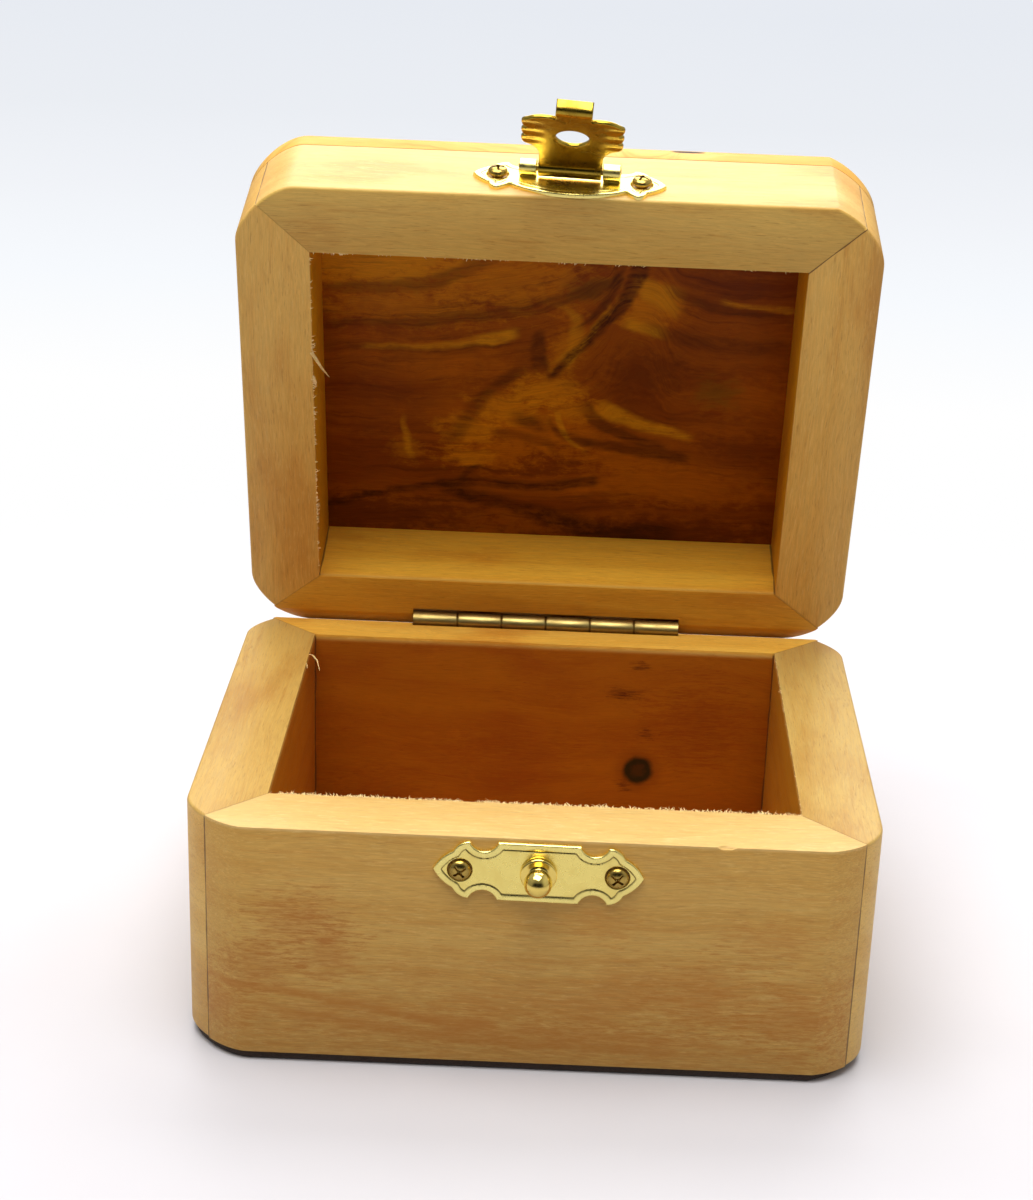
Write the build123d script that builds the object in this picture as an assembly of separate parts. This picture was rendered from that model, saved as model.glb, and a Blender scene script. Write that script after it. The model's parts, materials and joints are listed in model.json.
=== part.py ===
from build123d import *
import os
from math import asin, cos, radians, sin, sqrt, tan

# Small hinged wooden box for a rosary.
# X points right, Y to the back, Z up. The origin is the centre of the felt's underside.
# The lid is modelled shut and then swung open about the hinge pin to its stop. Millimetres.

# ---- box ----
box_width = 90.0          # over the left and right boards
box_depth = 72.6          # over the front and back boards
base_height = 33.0        # wood of the base
lid_height = 18.0         # wood of the lid with its top panel
front_wall = 9.8
back_wall = 8.6
side_wall = 10.3
bottom_panel_thickness = 4.0
top_panel_thickness = 4.0
rim_gap = 0.3             # between the two rims when shut
corner_cut = 6.0          # 45 degree cut at each upright corner, measured along a side
corner_blend = 6.5        # radius that softens the two edges of each cut
top_edge_radius = 1.2
felt_thickness = 1.3
felt_inset = 0.5

# ---- hinge ----
lid_open_angle = 77.0     # from shut to the stop
hinge_length = 40.6
leaf_height = 7.6         # from the pin's axis to the leaf's edge
leaf_thickness = 0.7
leaf_side_gap = 0.1
hinge_pin_radius = 0.65
pin_clearance = 0.05
knuckle_count = 6
knuckle_gap = 0.5
knuckle_relief = 0.4      # between a leaf's edge and the other leaf's knuckles
rebate_length = 54.0      # groove in both back rims around the barrel
rebate_clearance = 0.5
bevel_width = 2.6         # bevel along both back rims
stop_clearance = 0.1      # how much deeper each bevel is cut than the stop needs
hinge_screw_count = 3
hinge_screw_spacing = 14.0
hinge_screw_drop = 4.7    # from the pin's axis

# ---- screws ----
screw_clearance = 0.05
hinge_screw_head_radius = 1.45
hinge_screw_shank_radius = 0.8
hinge_screw_length = 5.5
fitting_screw_head_radius = 1.4
fitting_screw_shank_radius = 0.75
fitting_screw_length = 6.0
fitting_screw_dome = 0.75
fitting_screw_sink = 0.25  # extra radius of the countersink around the head
cross_width = 0.32
cross_share = 1.25         # length of a cross slot over the head's radius
cross_depth = 0.35
screw_tip_share = 1.6      # length of the point over the shank's radius

# ---- catch plate and hasp plate ----
fitting_thickness = 0.6
fitting_half_width = 13.4
fitting_half_height = 4.1
fitting_body_half_width = 5.2
fitting_notch_x = 7.2
fitting_notch_z = 2.75
fitting_ear_x = 8.8
fitting_ear_z = 4.0
fitting_shoulder_x = 10.9
fitting_shoulder_z = 2.6
fitting_screw_x = 10.0
catch_x = 0.9
catch_drop = 4.6           # from the base's rim to the plate's middle
catch_tilt = 0.6           # degrees, clockwise from the front
hasp_x = 1.0
hasp_rise = 5.0            # from the lid's rim to the plate's middle
hasp_tilt = 4.5
hasp_skirt = 5.0           # reach of the plate's curved lower edge
hasp_lobe_x = 9.7          # lowest point of the plate's lower lobes
hasp_lobe_z = 4.1
hasp_notch_x = 8.1         # where a lobe meets the curved lower edge
hasp_notch_z = 2.7

# ---- knob ----
knob_collar_radius = 2.35
knob_neck_radius = 1.0
knob_ball_radius = 1.8
knob_ball_height = 2.6     # ball's centre above the plate
knob_rivet_radius = 0.8

# ---- tongue ----
hasp_axis_height = 1.9     # pin's axis above the wood
hasp_knuckle_radius = 1.15
hasp_knuckle_width = 2.4
hasp_pin_radius = 0.5
tongue_knuckle_width = 8.7
tongue_knuckle_gap = 0.25
tongue_thickness = 0.65
tongue_neck_half_width = 4.4
tongue_neck_length = 4.4
tongue_wing_half_width = 6.9
tongue_wing_start = 7.4
tongue_wing_end = 14.4
tongue_lobe_depth = 0.8
tongue_tab_half_width = 2.45
tongue_length = 17.1
tongue_lip_height = 2.1
tongue_hole_radius = 2.25
tongue_seat_gap = 0.3      # between the shut tongue and the knob's collar
tongue_skew = 4.0          # degrees that the sheet turns in its knuckle, back to upright
tongue_rest_angle = 50.0   # swung out from shut

# ---- places worked out from the sizes above ----
half_width = box_width / 2
half_depth = box_depth / 2
cavity_half_width = half_width - side_wall
cavity_front = front_wall - half_depth
cavity_back = half_depth - back_wall
base_rim_z = felt_thickness + base_height
lid_rim_z = base_rim_z + rim_gap
lid_joint_z = lid_rim_z + lid_height - top_panel_thickness
knuckle_radius = hinge_pin_radius + pin_clearance + leaf_thickness
hinge_y = half_depth - knuckle_radius
hinge_z = base_rim_z + rim_gap / 2
relief_radius = knuckle_radius + knuckle_relief
# Both back edges lie this far from the pin's plane, so they meet as the lid reaches its stop.
bevel_drop = knuckle_radius * tan(radians(lid_open_angle / 2)) - rim_gap / 2 + stop_clearance
leaf_inner_y = half_depth - leaf_thickness
over = 1.0                 # how far a cutting shape runs past what it cuts

open_lid = Pos(0, hinge_y, hinge_z) * Rot(-lid_open_angle, 0, 0) * Pos(0, -hinge_y, -hinge_z)
catch_place = Pos(catch_x, -half_depth, base_rim_z - catch_drop) * Rot(0, catch_tilt, 0)
hasp_place = Pos(hasp_x, -half_depth, lid_rim_z + hasp_rise) * Rot(0, hasp_tilt, 0)
hasp_pivot = hasp_place * Pos(0, -hasp_axis_height, 0)
facing_front = Rot(90, 0, 0)
facing_back = Rot(-90, 0, 0)


# ---- shared shapes ----
def block(x_from, x_to, y_from, y_to, z_from, z_to):
    """A box between two corners."""
    centre = Pos((x_from + x_to) / 2, (y_from + y_to) / 2, (z_from + z_to) / 2)
    return centre * Box(x_to - x_from, y_to - y_from, z_to - z_from)


def bar_x(edges, x_from, x_to):
    """A bar along X whose section is drawn as (y, z) edges."""
    section = Plane.YZ.offset(x_from) * make_face(edges)
    return extrude(section, amount=x_to - x_from)


def rod_x(radius, x_from, x_to):
    """A round rod along X through the origin."""
    return Pos((x_from + x_to) / 2, 0, 0) * Rot(0, 90, 0) * Cylinder(radius, x_to - x_from)


def plan(inset=0.0):
    """The box's outline from above: a rectangle with cut and softened corners."""
    rectangle = Rectangle(box_width - 2 * inset, box_depth - 2 * inset)
    cut = chamfer(rectangle.vertices(), corner_cut)
    return fillet(cut.vertices(), corner_blend)


def frame_walls(z_from, z_to):
    """Four walls in one piece, before the mitres are cut."""
    ring = Pos(0, 0, z_from) * extrude(plan(), amount=z_to - z_from)
    hollow = block(-cavity_half_width, cavity_half_width, cavity_front, cavity_back,
                   z_from - over, z_to + over)
    return ring - hollow


def mitred_boards(walls, z_from, z_to):
    """Cuts the walls along their mitres into front, back, left and right boards."""
    outer = {"fl": (-half_width, -half_depth), "fr": (half_width, -half_depth),
             "bl": (-half_width, half_depth), "br": (half_width, half_depth)}
    inner = {"fl": (-cavity_half_width, cavity_front), "fr": (cavity_half_width, cavity_front),
             "bl": (-cavity_half_width, cavity_back), "br": (cavity_half_width, cavity_back)}
    sides = {"front": ("fl", "fr"), "right": ("fr", "br"), "back": ("br", "bl"), "left": ("bl", "fl")}
    boards = {}
    for side, (start, end) in sides.items():
        region = Polyline(outer[start], outer[end], inner[end], inner[start], close=True)
        wedge = Pos(0, 0, z_from - over) * extrude(make_face(region), amount=z_to - z_from + 2 * over)
        boards[side] = walls & wedge
    return boards


def back_bevel(rim_z, drop):
    """What the bevel takes off a back rim; a negative drop bevels the lid."""
    edges = Polyline((half_depth - bevel_width, rim_z), (half_depth, rim_z - drop),
                     (half_depth + over, rim_z - drop), (half_depth + over, rim_z + drop),
                     (half_depth - bevel_width, rim_z + drop), close=True)
    return bar_x(edges, -half_width - over, half_width + over)


def hinge_rebate():
    """The round groove that both back rims leave for the barrel."""
    groove = rod_x(knuckle_radius + rebate_clearance, -rebate_length / 2, rebate_length / 2)
    return Pos(0, hinge_y, hinge_z) * groove


def screw(head_radius, shank_radius, length, dome, clearance=0.0):
    """A countersunk screw along -Z with its head's rim at z = 0; a clearance gives its hole."""
    head = head_radius + clearance
    shank = shank_radius + clearance
    tip = screw_tip_share * shank_radius
    end = -length - clearance
    if dome:
        cap_radius = (head ** 2 + dome ** 2) / (2 * dome)
        half_angle = asin(head / cap_radius) / 2
        middle = (cap_radius * sin(half_angle), dome - cap_radius * (1 - cos(half_angle)))
        top = [ThreePointArc((0, dome), middle, (head, 0))]
    else:
        top = [Line((0, 0), (head, 0))]
    side = Polyline((head, 0), (shank, shank - head), (shank, end + tip), (0, end), (0, dome))
    profile = Plane.XZ * make_face(top + side.edges())
    return revolve(profile, Axis.Z)


def cross_recess(head_radius, dome):
    """The cross slot in a screw's head."""
    length = cross_share * head_radius
    depth = dome + cross_depth
    slot = Pos(0, 0, dome) * Box(length, cross_width, 2 * cross_depth)
    lower = Pos(0, 0, dome - depth / 2) * Box(cross_width, cross_width, depth)
    return slot + Rot(0, 0, 90) * slot + lower


def fitting_edges():
    """The upper right quarter of a fitting's outline, from its tip to the middle of its top."""
    tip = (fitting_half_width, 0)
    shoulder = (fitting_shoulder_x, fitting_shoulder_z)
    ear = (fitting_ear_x, fitting_ear_z)
    notch = (fitting_notch_x, fitting_notch_z)
    corner = (fitting_body_half_width, fitting_half_height)
    hollow = ((tip[0] + shoulder[0]) / 2 - 0.25, (tip[1] + shoulder[1]) / 2 - 0.15)
    swell = ((ear[0] + shoulder[0]) / 2 + 0.25, (ear[1] + shoulder[1]) / 2 + 0.3)
    return [ThreePointArc(tip, hollow, shoulder), ThreePointArc(shoulder, swell, ear),
            ThreePointArc(ear, notch, corner), Line(corner, (0, fitting_half_height))]


def mirrored(edges, plane):
    """The edges with their mirror images."""
    return edges + [mirror(edge, about=plane) for edge in edges]


def fitting_plate(edges):
    """A flat plate from a closed outline, standing on the front with its back at y = 0."""
    face = Plane.XZ * make_face(edges)
    plate = extrude(face, amount=fitting_thickness)
    for side in (-1, 1):
        plate -= fitting_screw_hole(side)
    return plate


def fitting_screw_spot(side):
    """The place of a fitting's left (-1) or right (1) screw, on the plate's face."""
    return Pos(side * fitting_screw_x, -fitting_thickness, 0) * facing_front


def fitting_screw(clearance=0.0):
    """One raised countersunk screw of a plate."""
    return screw(fitting_screw_head_radius, fitting_screw_shank_radius, fitting_screw_length,
                 fitting_screw_dome, clearance)


def fitting_screw_hole(side):
    """A hole with a countersink a little wider than the screw's head."""
    sink = screw(fitting_screw_head_radius + fitting_screw_sink, fitting_screw_shank_radius,
                 fitting_screw_length, fitting_screw_dome, screw_clearance)
    return fitting_screw_spot(side) * sink


def fitting_screws():
    """Both screws of a plate."""
    one = fitting_screw() - cross_recess(fitting_screw_head_radius, fitting_screw_dome)
    return [fitting_screw_spot(side) * one for side in (-1, 1)]


def fitting_pilot_holes():
    """The holes that a plate's screws need in the wood."""
    hole = fitting_screw(screw_clearance)
    return fitting_screw_spot(-1) * hole + fitting_screw_spot(1) * hole


# ---- hinge ----
def knuckle_spans(first):
    """X spans of every second knuckle, from the first or the second one on."""
    pitch = hinge_length / knuckle_count
    spans = []
    for index in range(first, knuckle_count, 2):
        start = -hinge_length / 2 + index * pitch
        left = start + (knuckle_gap / 2 if index > 0 else 0)
        right = start + pitch - (knuckle_gap / 2 if index < knuckle_count - 1 else 0)
        spans.append((left, right))
    return spans


def hinge_leaf(first, hang):
    """A leaf with its knuckles; hang is -1 for the base's leaf and 1 for the lid's."""
    outer = knuckle_radius
    inner = knuckle_radius - leaf_thickness
    neck_z = -sqrt(outer ** 2 - inner ** 2)
    edges = [Line((outer, -relief_radius - over), (outer, 0)),
             ThreePointArc((outer, 0), (-outer, 0), (inner, neck_z)),
             Line((inner, neck_z), (inner, -relief_radius - over)),
             Line((inner, -relief_radius - over), (outer, -relief_radius - over))]
    leaf = block(-hinge_length / 2, hinge_length / 2, inner, outer, -leaf_height, -relief_radius)
    for x_from, x_to in knuckle_spans(first):
        leaf += bar_x(edges, x_from, x_to)
    leaf -= rod_x(hinge_pin_radius + pin_clearance, -hinge_length, hinge_length)
    if hang > 0:
        leaf = mirror(leaf, about=Plane.XY)
    leaf = Pos(0, hinge_y, hinge_z) * leaf
    for hole in hinge_screw_places(hang):
        leaf -= hole * hinge_screw(screw_clearance)
    return leaf


def hinge_recess(hang):
    """The pocket in a back board that takes a leaf flush."""
    edge = hinge_z + hang * (leaf_height + leaf_side_gap)
    x_reach = hinge_length / 2 + leaf_side_gap
    return block(-x_reach, x_reach, leaf_inner_y, half_depth + over, min(edge, hinge_z), max(edge, hinge_z))


def hinge_screw_places(hang):
    """Where a leaf's screws sit."""
    middle = (hinge_screw_count - 1) / 2
    return [Pos((index - middle) * hinge_screw_spacing, half_depth, hinge_z + hang * hinge_screw_drop)
            * facing_back for index in range(hinge_screw_count)]


def hinge_screw(clearance=0.0):
    """One flat countersunk screw of the hinge."""
    return screw(hinge_screw_head_radius, hinge_screw_shank_radius, hinge_screw_length, 0, clearance)


def hinge_screws(hang):
    """A leaf's screws."""
    one = hinge_screw() - cross_recess(hinge_screw_head_radius, 0)
    return [place * one for place in hinge_screw_places(hang)]


def hinge_seat(walls, rim_z, hang):
    """Walls with the bevel, the rebate, the leaf's pocket and its pilot holes cut."""
    walls -= back_bevel(rim_z, -hang * bevel_drop)
    walls -= hinge_rebate()
    walls -= hinge_recess(hang)
    for place in hinge_screw_places(hang):
        walls -= place * hinge_screw(screw_clearance)
    return walls


# ---- catch ----
def catch_plate():
    """The plate on the base with the rivet hole of its knob."""
    quarter = fitting_edges()
    outline = mirrored(mirrored(quarter, Plane.YZ), Plane.XZ)
    rivet_hole = Rot(90, 0, 0) * Cylinder(knob_rivet_radius + screw_clearance, 4 * fitting_thickness)
    return catch_place * (fitting_plate(outline) - rivet_hole)


def catch_knob():
    """The ball knob with its collar and rivet."""
    tongue_inner = hasp_axis_height - tongue_thickness / 2
    collar_height = tongue_inner - fitting_thickness - tongue_seat_gap
    ball_start = knob_ball_height - sqrt(knob_ball_radius ** 2 - knob_neck_radius ** 2)
    ball_end = knob_ball_height + knob_ball_radius
    sides = Polyline((0, ball_end), (0, -fitting_thickness), (knob_rivet_radius, -fitting_thickness),
                     (knob_rivet_radius, 0), (knob_collar_radius, 0), (knob_collar_radius, collar_height),
                     (knob_neck_radius, collar_height), (knob_neck_radius, ball_start))
    ball = ThreePointArc((knob_neck_radius, ball_start), (knob_ball_radius, knob_ball_height), (0, ball_end))
    knob = revolve(Plane.XZ * make_face(sides.edges() + [ball]), Axis.Z)
    return catch_place * Pos(0, -fitting_thickness, 0) * facing_front * knob


# ---- hasp ----
def hasp_knuckle_start():
    """X where a plate's knuckle begins, beside the tongue's."""
    return tongue_knuckle_width / 2 + tongue_knuckle_gap


def hasp_plate():
    """The plate on the lid with the two knuckles that carry the tongue's pin."""
    upper = mirrored(fitting_edges(), Plane.YZ)
    shoulder = (fitting_shoulder_x, -fitting_shoulder_z)
    lobe = (hasp_lobe_x, -hasp_lobe_z)
    notch = (hasp_notch_x, -hasp_notch_z)
    swell = ((shoulder[0] + lobe[0]) / 2 + 0.25, (shoulder[1] + lobe[1]) / 2 - 0.3)
    inner_swell = ((lobe[0] + notch[0]) / 2 + 0.1, (lobe[1] + notch[1]) / 2 - 0.3)
    right = [mirror(fitting_edges()[0], about=Plane.XZ), ThreePointArc(shoulder, swell, lobe),
             ThreePointArc(lobe, inner_swell, notch)]
    skirt = ThreePointArc(notch, (0, -hasp_skirt), (-hasp_notch_x, -hasp_notch_z))
    plate = fitting_plate(upper + mirrored(right, Plane.YZ) + [skirt])
    start = hasp_knuckle_start()
    bore = Pos(0, -hasp_axis_height, 0) * rod_x(hasp_pin_radius, -2 * start, 2 * start)
    for side in (-1, 1):
        x_from, x_to = sorted((side * start, side * (start + hasp_knuckle_width)))
        barrel = Pos(0, -hasp_axis_height, 0) * rod_x(hasp_knuckle_radius, x_from, x_to)
        foot = block(x_from, x_to, -hasp_axis_height, -fitting_thickness, 0, hasp_knuckle_radius)
        plate += barrel + foot
    return hasp_place * (plate - bore)


def hasp_pin():
    """The pin through the plate's and the tongue's knuckles."""
    reach = hasp_knuckle_start() + hasp_knuckle_width
    return hasp_pivot * rod_x(hasp_pin_radius, -reach, reach)


def tongue_hole_spot():
    """Where the shut tongue meets the knob, in the frame of the tongue's sheet."""
    across = catch_x - hasp_x
    down = base_rim_z - catch_drop - lid_rim_z - hasp_rise
    turn = radians(hasp_tilt - tongue_skew)
    return across * cos(turn) - down * sin(turn), across * sin(turn) + down * cos(turn)


def tongue_side():
    """The tongue's right edge, from its knuckle down to its tab."""
    lobe = (tongue_wing_end - tongue_wing_start) / 3
    valley = tongue_wing_half_width - tongue_lobe_depth
    edges = [Line((tongue_neck_half_width, 0), (tongue_neck_half_width, -tongue_neck_length)),
             ThreePointArc((tongue_neck_half_width, -tongue_neck_length),
                           ((tongue_neck_half_width + valley) / 2 - 0.35,
                            -(tongue_neck_length + tongue_wing_start) / 2 - 0.25),
                           (valley, -tongue_wing_start))]
    for index in range(3):
        top = -tongue_wing_start - index * lobe
        edges.append(ThreePointArc((valley, top), (tongue_wing_half_width, top - lobe / 2),
                                   (valley, top - lobe)))
    tab_start = -tongue_wing_end - 0.6
    edges.append(ThreePointArc((valley, -tongue_wing_end),
                               ((valley + tongue_tab_half_width) / 2, -tongue_wing_end - 0.75),
                               (tongue_tab_half_width, tab_start)))
    edges.append(Line((tongue_tab_half_width, tab_start), (tongue_tab_half_width, -tongue_length)))
    return edges


def hasp_tongue():
    """The swinging tongue, swung out to its resting angle, with its pivot on the pin."""
    right = tongue_side()
    ends = [Line((-tongue_neck_half_width, 0), (tongue_neck_half_width, 0)),
            Line((-tongue_tab_half_width, -tongue_length), (tongue_tab_half_width, -tongue_length))]
    face = make_face(mirrored(right, Plane.YZ) + ends)
    half = tongue_thickness / 2
    sheet = extrude(Plane.XZ.offset(-half) * face, amount=tongue_thickness)
    knuckle = rod_x(hasp_knuckle_radius, -tongue_knuckle_width / 2, tongue_knuckle_width / 2)
    lip = block(-tongue_tab_half_width, tongue_tab_half_width, -tongue_lip_height, half,
                -tongue_length, tongue_thickness - tongue_length)
    hole_x, hole_z = tongue_hole_spot()
    hole = Pos(hole_x, 0, hole_z) * Rot(90, 0, 0) * Cylinder(tongue_hole_radius, 4 * tongue_thickness)
    bore = rod_x(hasp_pin_radius + pin_clearance, -tongue_knuckle_width, tongue_knuckle_width)
    turned = Rot(0, -tongue_skew, 0) * (sheet + lip - hole)
    tongue = turned + knuckle - bore
    return hasp_pivot * Rot(-tongue_rest_angle, 0, 0) * tongue


# ---- base ----
base_walls = hinge_seat(frame_walls(felt_thickness, base_rim_z), base_rim_z, -1)
base_walls -= catch_place * fitting_pilot_holes()
base_boards = mitred_boards(base_walls, felt_thickness, base_rim_z)
base_bottom = block(-cavity_half_width, cavity_half_width, cavity_front, cavity_back,
                    felt_thickness, felt_thickness + bottom_panel_thickness)
felt_pad = extrude(plan(felt_inset), amount=felt_thickness)
hinge_pin = Pos(0, hinge_y, hinge_z) * rod_x(hinge_pin_radius, -hinge_length / 2, hinge_length / 2)

# ---- lid ----
lid_walls = hinge_seat(frame_walls(lid_rim_z, lid_joint_z), lid_rim_z, 1)
lid_walls -= hasp_place * fitting_pilot_holes()
lid_boards = mitred_boards(lid_walls, lid_rim_z, lid_joint_z)
lid_panel = Pos(0, 0, lid_joint_z) * extrude(plan(), amount=top_panel_thickness)
lid_panel = fillet(lid_panel.faces().sort_by(Axis.Z)[-1].edges(), top_edge_radius)

# ---- files ----
fixed_nodes = {
    "base_bottom_panel": [base_bottom],
    "base_felt_pad": [felt_pad],
    "hinge_leaf_base": [hinge_leaf(0, -1)],
    "hinge_pin": [hinge_pin],
    "hinge_screws_base": hinge_screws(-1),
    "catch_plate": [catch_plate()],
    "catch_knob": [catch_knob()],
    "catch_screws": [catch_place * one for one in fitting_screws()],
}
lid_nodes = {
    "lid_top_panel": [lid_panel],
    "hinge_leaf_lid": [hinge_leaf(1, 1)],
    "hinge_screws_lid": hinge_screws(1),
    "hasp_plate": [hasp_plate()],
    "hasp_pin": [hasp_pin()],
    "hasp_screws": [hasp_place * one for one in fitting_screws()],
    "hasp_tongue": [hasp_tongue()],
}
fixed_nodes.update({f"base_{side}_board": [board] for side, board in base_boards.items()})
lid_nodes.update({f"lid_{side}_board": [board] for side, board in lid_boards.items()})

os.makedirs("parts", exist_ok=True)
for name, solids in fixed_nodes.items():
    shape = Compound(children=solids) if len(solids) > 1 else solids[0]
    export_step(shape, f"parts/{name}.step")
for name, solids in lid_nodes.items():
    opened = [open_lid * solid for solid in solids]
    shape = Compound(children=opened) if len(opened) > 1 else opened[0]
    export_step(shape, f"parts/{name}.step")
print(f"{len(fixed_nodes) + len(lid_nodes)} nodes written")
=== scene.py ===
"""Looks of a small olive-wood rosary box with a brass hasp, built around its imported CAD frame.

The frame is in metres, with the lid open. Every piece is drawn in millimetres of the shut box, so that the
grain, the outlines and the joints of base and lid share one set of places. It is then scaled, and swung open
with the lid.
"""

import json
import logging
import math
from dataclasses import dataclass, field
from enum import Enum
from random import Random
from typing import Callable, Iterable, Sequence

import bmesh
import bpy
import numpy as np
from mathutils import Matrix, Vector
from mathutils.geometry import delaunay_2d_cdt

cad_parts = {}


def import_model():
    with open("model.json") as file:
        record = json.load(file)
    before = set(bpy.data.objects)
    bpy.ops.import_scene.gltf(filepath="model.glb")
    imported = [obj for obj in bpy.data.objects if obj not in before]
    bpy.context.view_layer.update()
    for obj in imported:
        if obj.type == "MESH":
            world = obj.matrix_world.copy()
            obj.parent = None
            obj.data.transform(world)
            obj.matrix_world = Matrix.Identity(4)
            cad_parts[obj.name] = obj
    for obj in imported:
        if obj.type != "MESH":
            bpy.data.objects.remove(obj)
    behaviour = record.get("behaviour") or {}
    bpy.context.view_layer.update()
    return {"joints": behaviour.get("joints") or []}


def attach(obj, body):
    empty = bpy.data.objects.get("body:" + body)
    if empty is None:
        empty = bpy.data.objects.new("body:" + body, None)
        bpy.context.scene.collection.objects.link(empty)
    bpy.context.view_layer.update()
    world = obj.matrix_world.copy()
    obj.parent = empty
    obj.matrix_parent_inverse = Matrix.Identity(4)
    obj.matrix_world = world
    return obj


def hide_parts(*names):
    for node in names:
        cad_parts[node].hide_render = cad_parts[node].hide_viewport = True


LOG = logging.getLogger("rosary_box")
MM = 0.001  # metres in a millimetre
PLACE = "place"  # the attribute with a point's place on the shut box, in millimetres
# Painted shade: the attribute below darkens a plate's engraved line and the hinge's knuckle seams; it also
# marks a plate's sunk middle.
GROOVE_SHADE_AND_SINK = "stamp"  # the attribute with a plate's engraved line and sunk middle

Point = tuple[float, float]
Triple = tuple[float, float, float]
Colour = tuple[float, float, float, float]
Placer = Callable[[float, float, float], tuple]
BMesh = bmesh.types.BMesh
Material = bpy.types.Material
Mesh = bpy.types.Mesh
Node = bpy.types.Node
Socket = bpy.types.NodeSocket
Thing = bpy.types.Object
Tree = bpy.types.NodeTree

ORIGIN = (0, 0, 0)
EVEN = (1, 1, 1)
CLEAR: Colour = (1, 1, 1, 1)
PANEL_SKIN = 0.1  # how much of the panel's underside counts as the cavity's face
TRACE = 0.02  # a length that keeps a test clear of rounding


# ---- Sizes ----


@dataclass(frozen=True)
class BoxSizes:
    """Sizes of the shut box in millimetres, read from the frame where it shows them."""

    half_width: float
    half_depth: float
    cavity_half_width: float
    cavity_front: float
    cavity_back: float
    wood_bottom: float
    base_rim: float
    lid_rim: float
    lid_joint: float
    lid_top: float
    floor_top: float
    hinge_y: float
    hinge_z: float
    bevel_width: float = 2.6
    bevel_drop: float = 1.06
    rebate_radius: float = 1.9
    rebate_half_length: float = 20.37
    leaf_thickness: float = 0.7
    leaf_height: float = 7.6
    leaf_half_length: float = 20.3
    leaf_gap: float = 0.1

    @property
    def side_wall(self) -> float:
        """Thickness of the left and right boards."""
        return self.half_width - self.cavity_half_width

    @property
    def front_wall(self) -> float:
        """Thickness of the front board."""
        return self.half_depth + self.cavity_front

    @property
    def back_wall(self) -> float:
        """Thickness of the back board."""
        return self.half_depth - self.cavity_back


class ShutFrame:
    """Turns places of the shut box, in millimetres, into places of the open frame, in metres.

    Args:
        joints: The frame's joints.
    """

    def __init__(self, joints: Sequence[dict]) -> None:
        """Reads the two joints."""
        hinge = next(joint for joint in joints if joint["name"] == "lid_hinge")
        swing = next(joint for joint in joints if joint["name"] == "hasp_swing")
        self.hinge = Vector(hinge["pos_m"])
        turn = Matrix.Rotation(-math.radians(max(hinge["range_deg"])), 4, Vector(hinge["axis"]))
        self.open_lid = Matrix.Translation(self.hinge) @ turn @ Matrix.Translation(-self.hinge)
        self.swing_point = Vector(swing["pos_m"])
        self.swing_axis = Vector(swing["axis"])
        self.swing_shut = math.radians(max(swing["range_deg"]))

    def matrix(self, body: str) -> Matrix:
        """The matrix from shut millimetres to the frame's rest pose for a body.

        Args:
            body: The CAD body's name.

        Returns:
            The matrix.
        """
        scale = Matrix.Scale(MM, 4)
        if body == "base":
            return scale
        if body == "lid":
            return self.open_lid @ scale
        there, back = Matrix.Translation(self.swing_point), Matrix.Translation(-self.swing_point)
        turn = Matrix.Rotation(-self.swing_shut, 4, self.swing_axis)
        return there @ turn @ back @ self.open_lid @ scale

    def shut_bounds(self, node: str, body: str) -> tuple[Vector, Vector]:
        """Lowest and highest corner of a CAD node in shut millimetres.

        Args:
            node: The CAD node's name.
            body: The body that carries it.

        Returns:
            The lowest and the highest corner.
        """
        back = self.matrix(body).inverted()
        places = [back @ vertex.co for vertex in bpy.data.objects[node].data.vertices]
        low = Vector(min(place[axis] for place in places) for axis in range(3))
        high = Vector(max(place[axis] for place in places) for axis in range(3))
        return low, high


def read_sizes(shut: ShutFrame) -> BoxSizes:
    """Reads the box's sizes from the frame's nodes.

    Args:
        shut: The frame's shut and open places.

    Returns:
        The sizes.
    """
    left = shut.shut_bounds("base_left_board", "base")
    front = shut.shut_bounds("base_front_board", "base")
    back = shut.shut_bounds("base_back_board", "base")
    floor = shut.shut_bounds("base_bottom_panel", "base")
    lid_front = shut.shut_bounds("lid_front_board", "lid")
    panel = shut.shut_bounds("lid_top_panel", "lid")
    return BoxSizes(
        half_width=-left[0].x,
        half_depth=-front[0].y,
        cavity_half_width=-left[1].x,
        cavity_front=front[1].y,
        cavity_back=back[0].y,
        wood_bottom=front[0].z,
        base_rim=front[1].z,
        lid_rim=lid_front[0].z,
        lid_joint=lid_front[1].z,
        lid_top=panel[1].z,
        floor_top=floor[1].z,
        hinge_y=shut.hinge.y / MM,
        hinge_z=shut.hinge.z / MM,
    )


# ---- Node graphs ----


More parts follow.
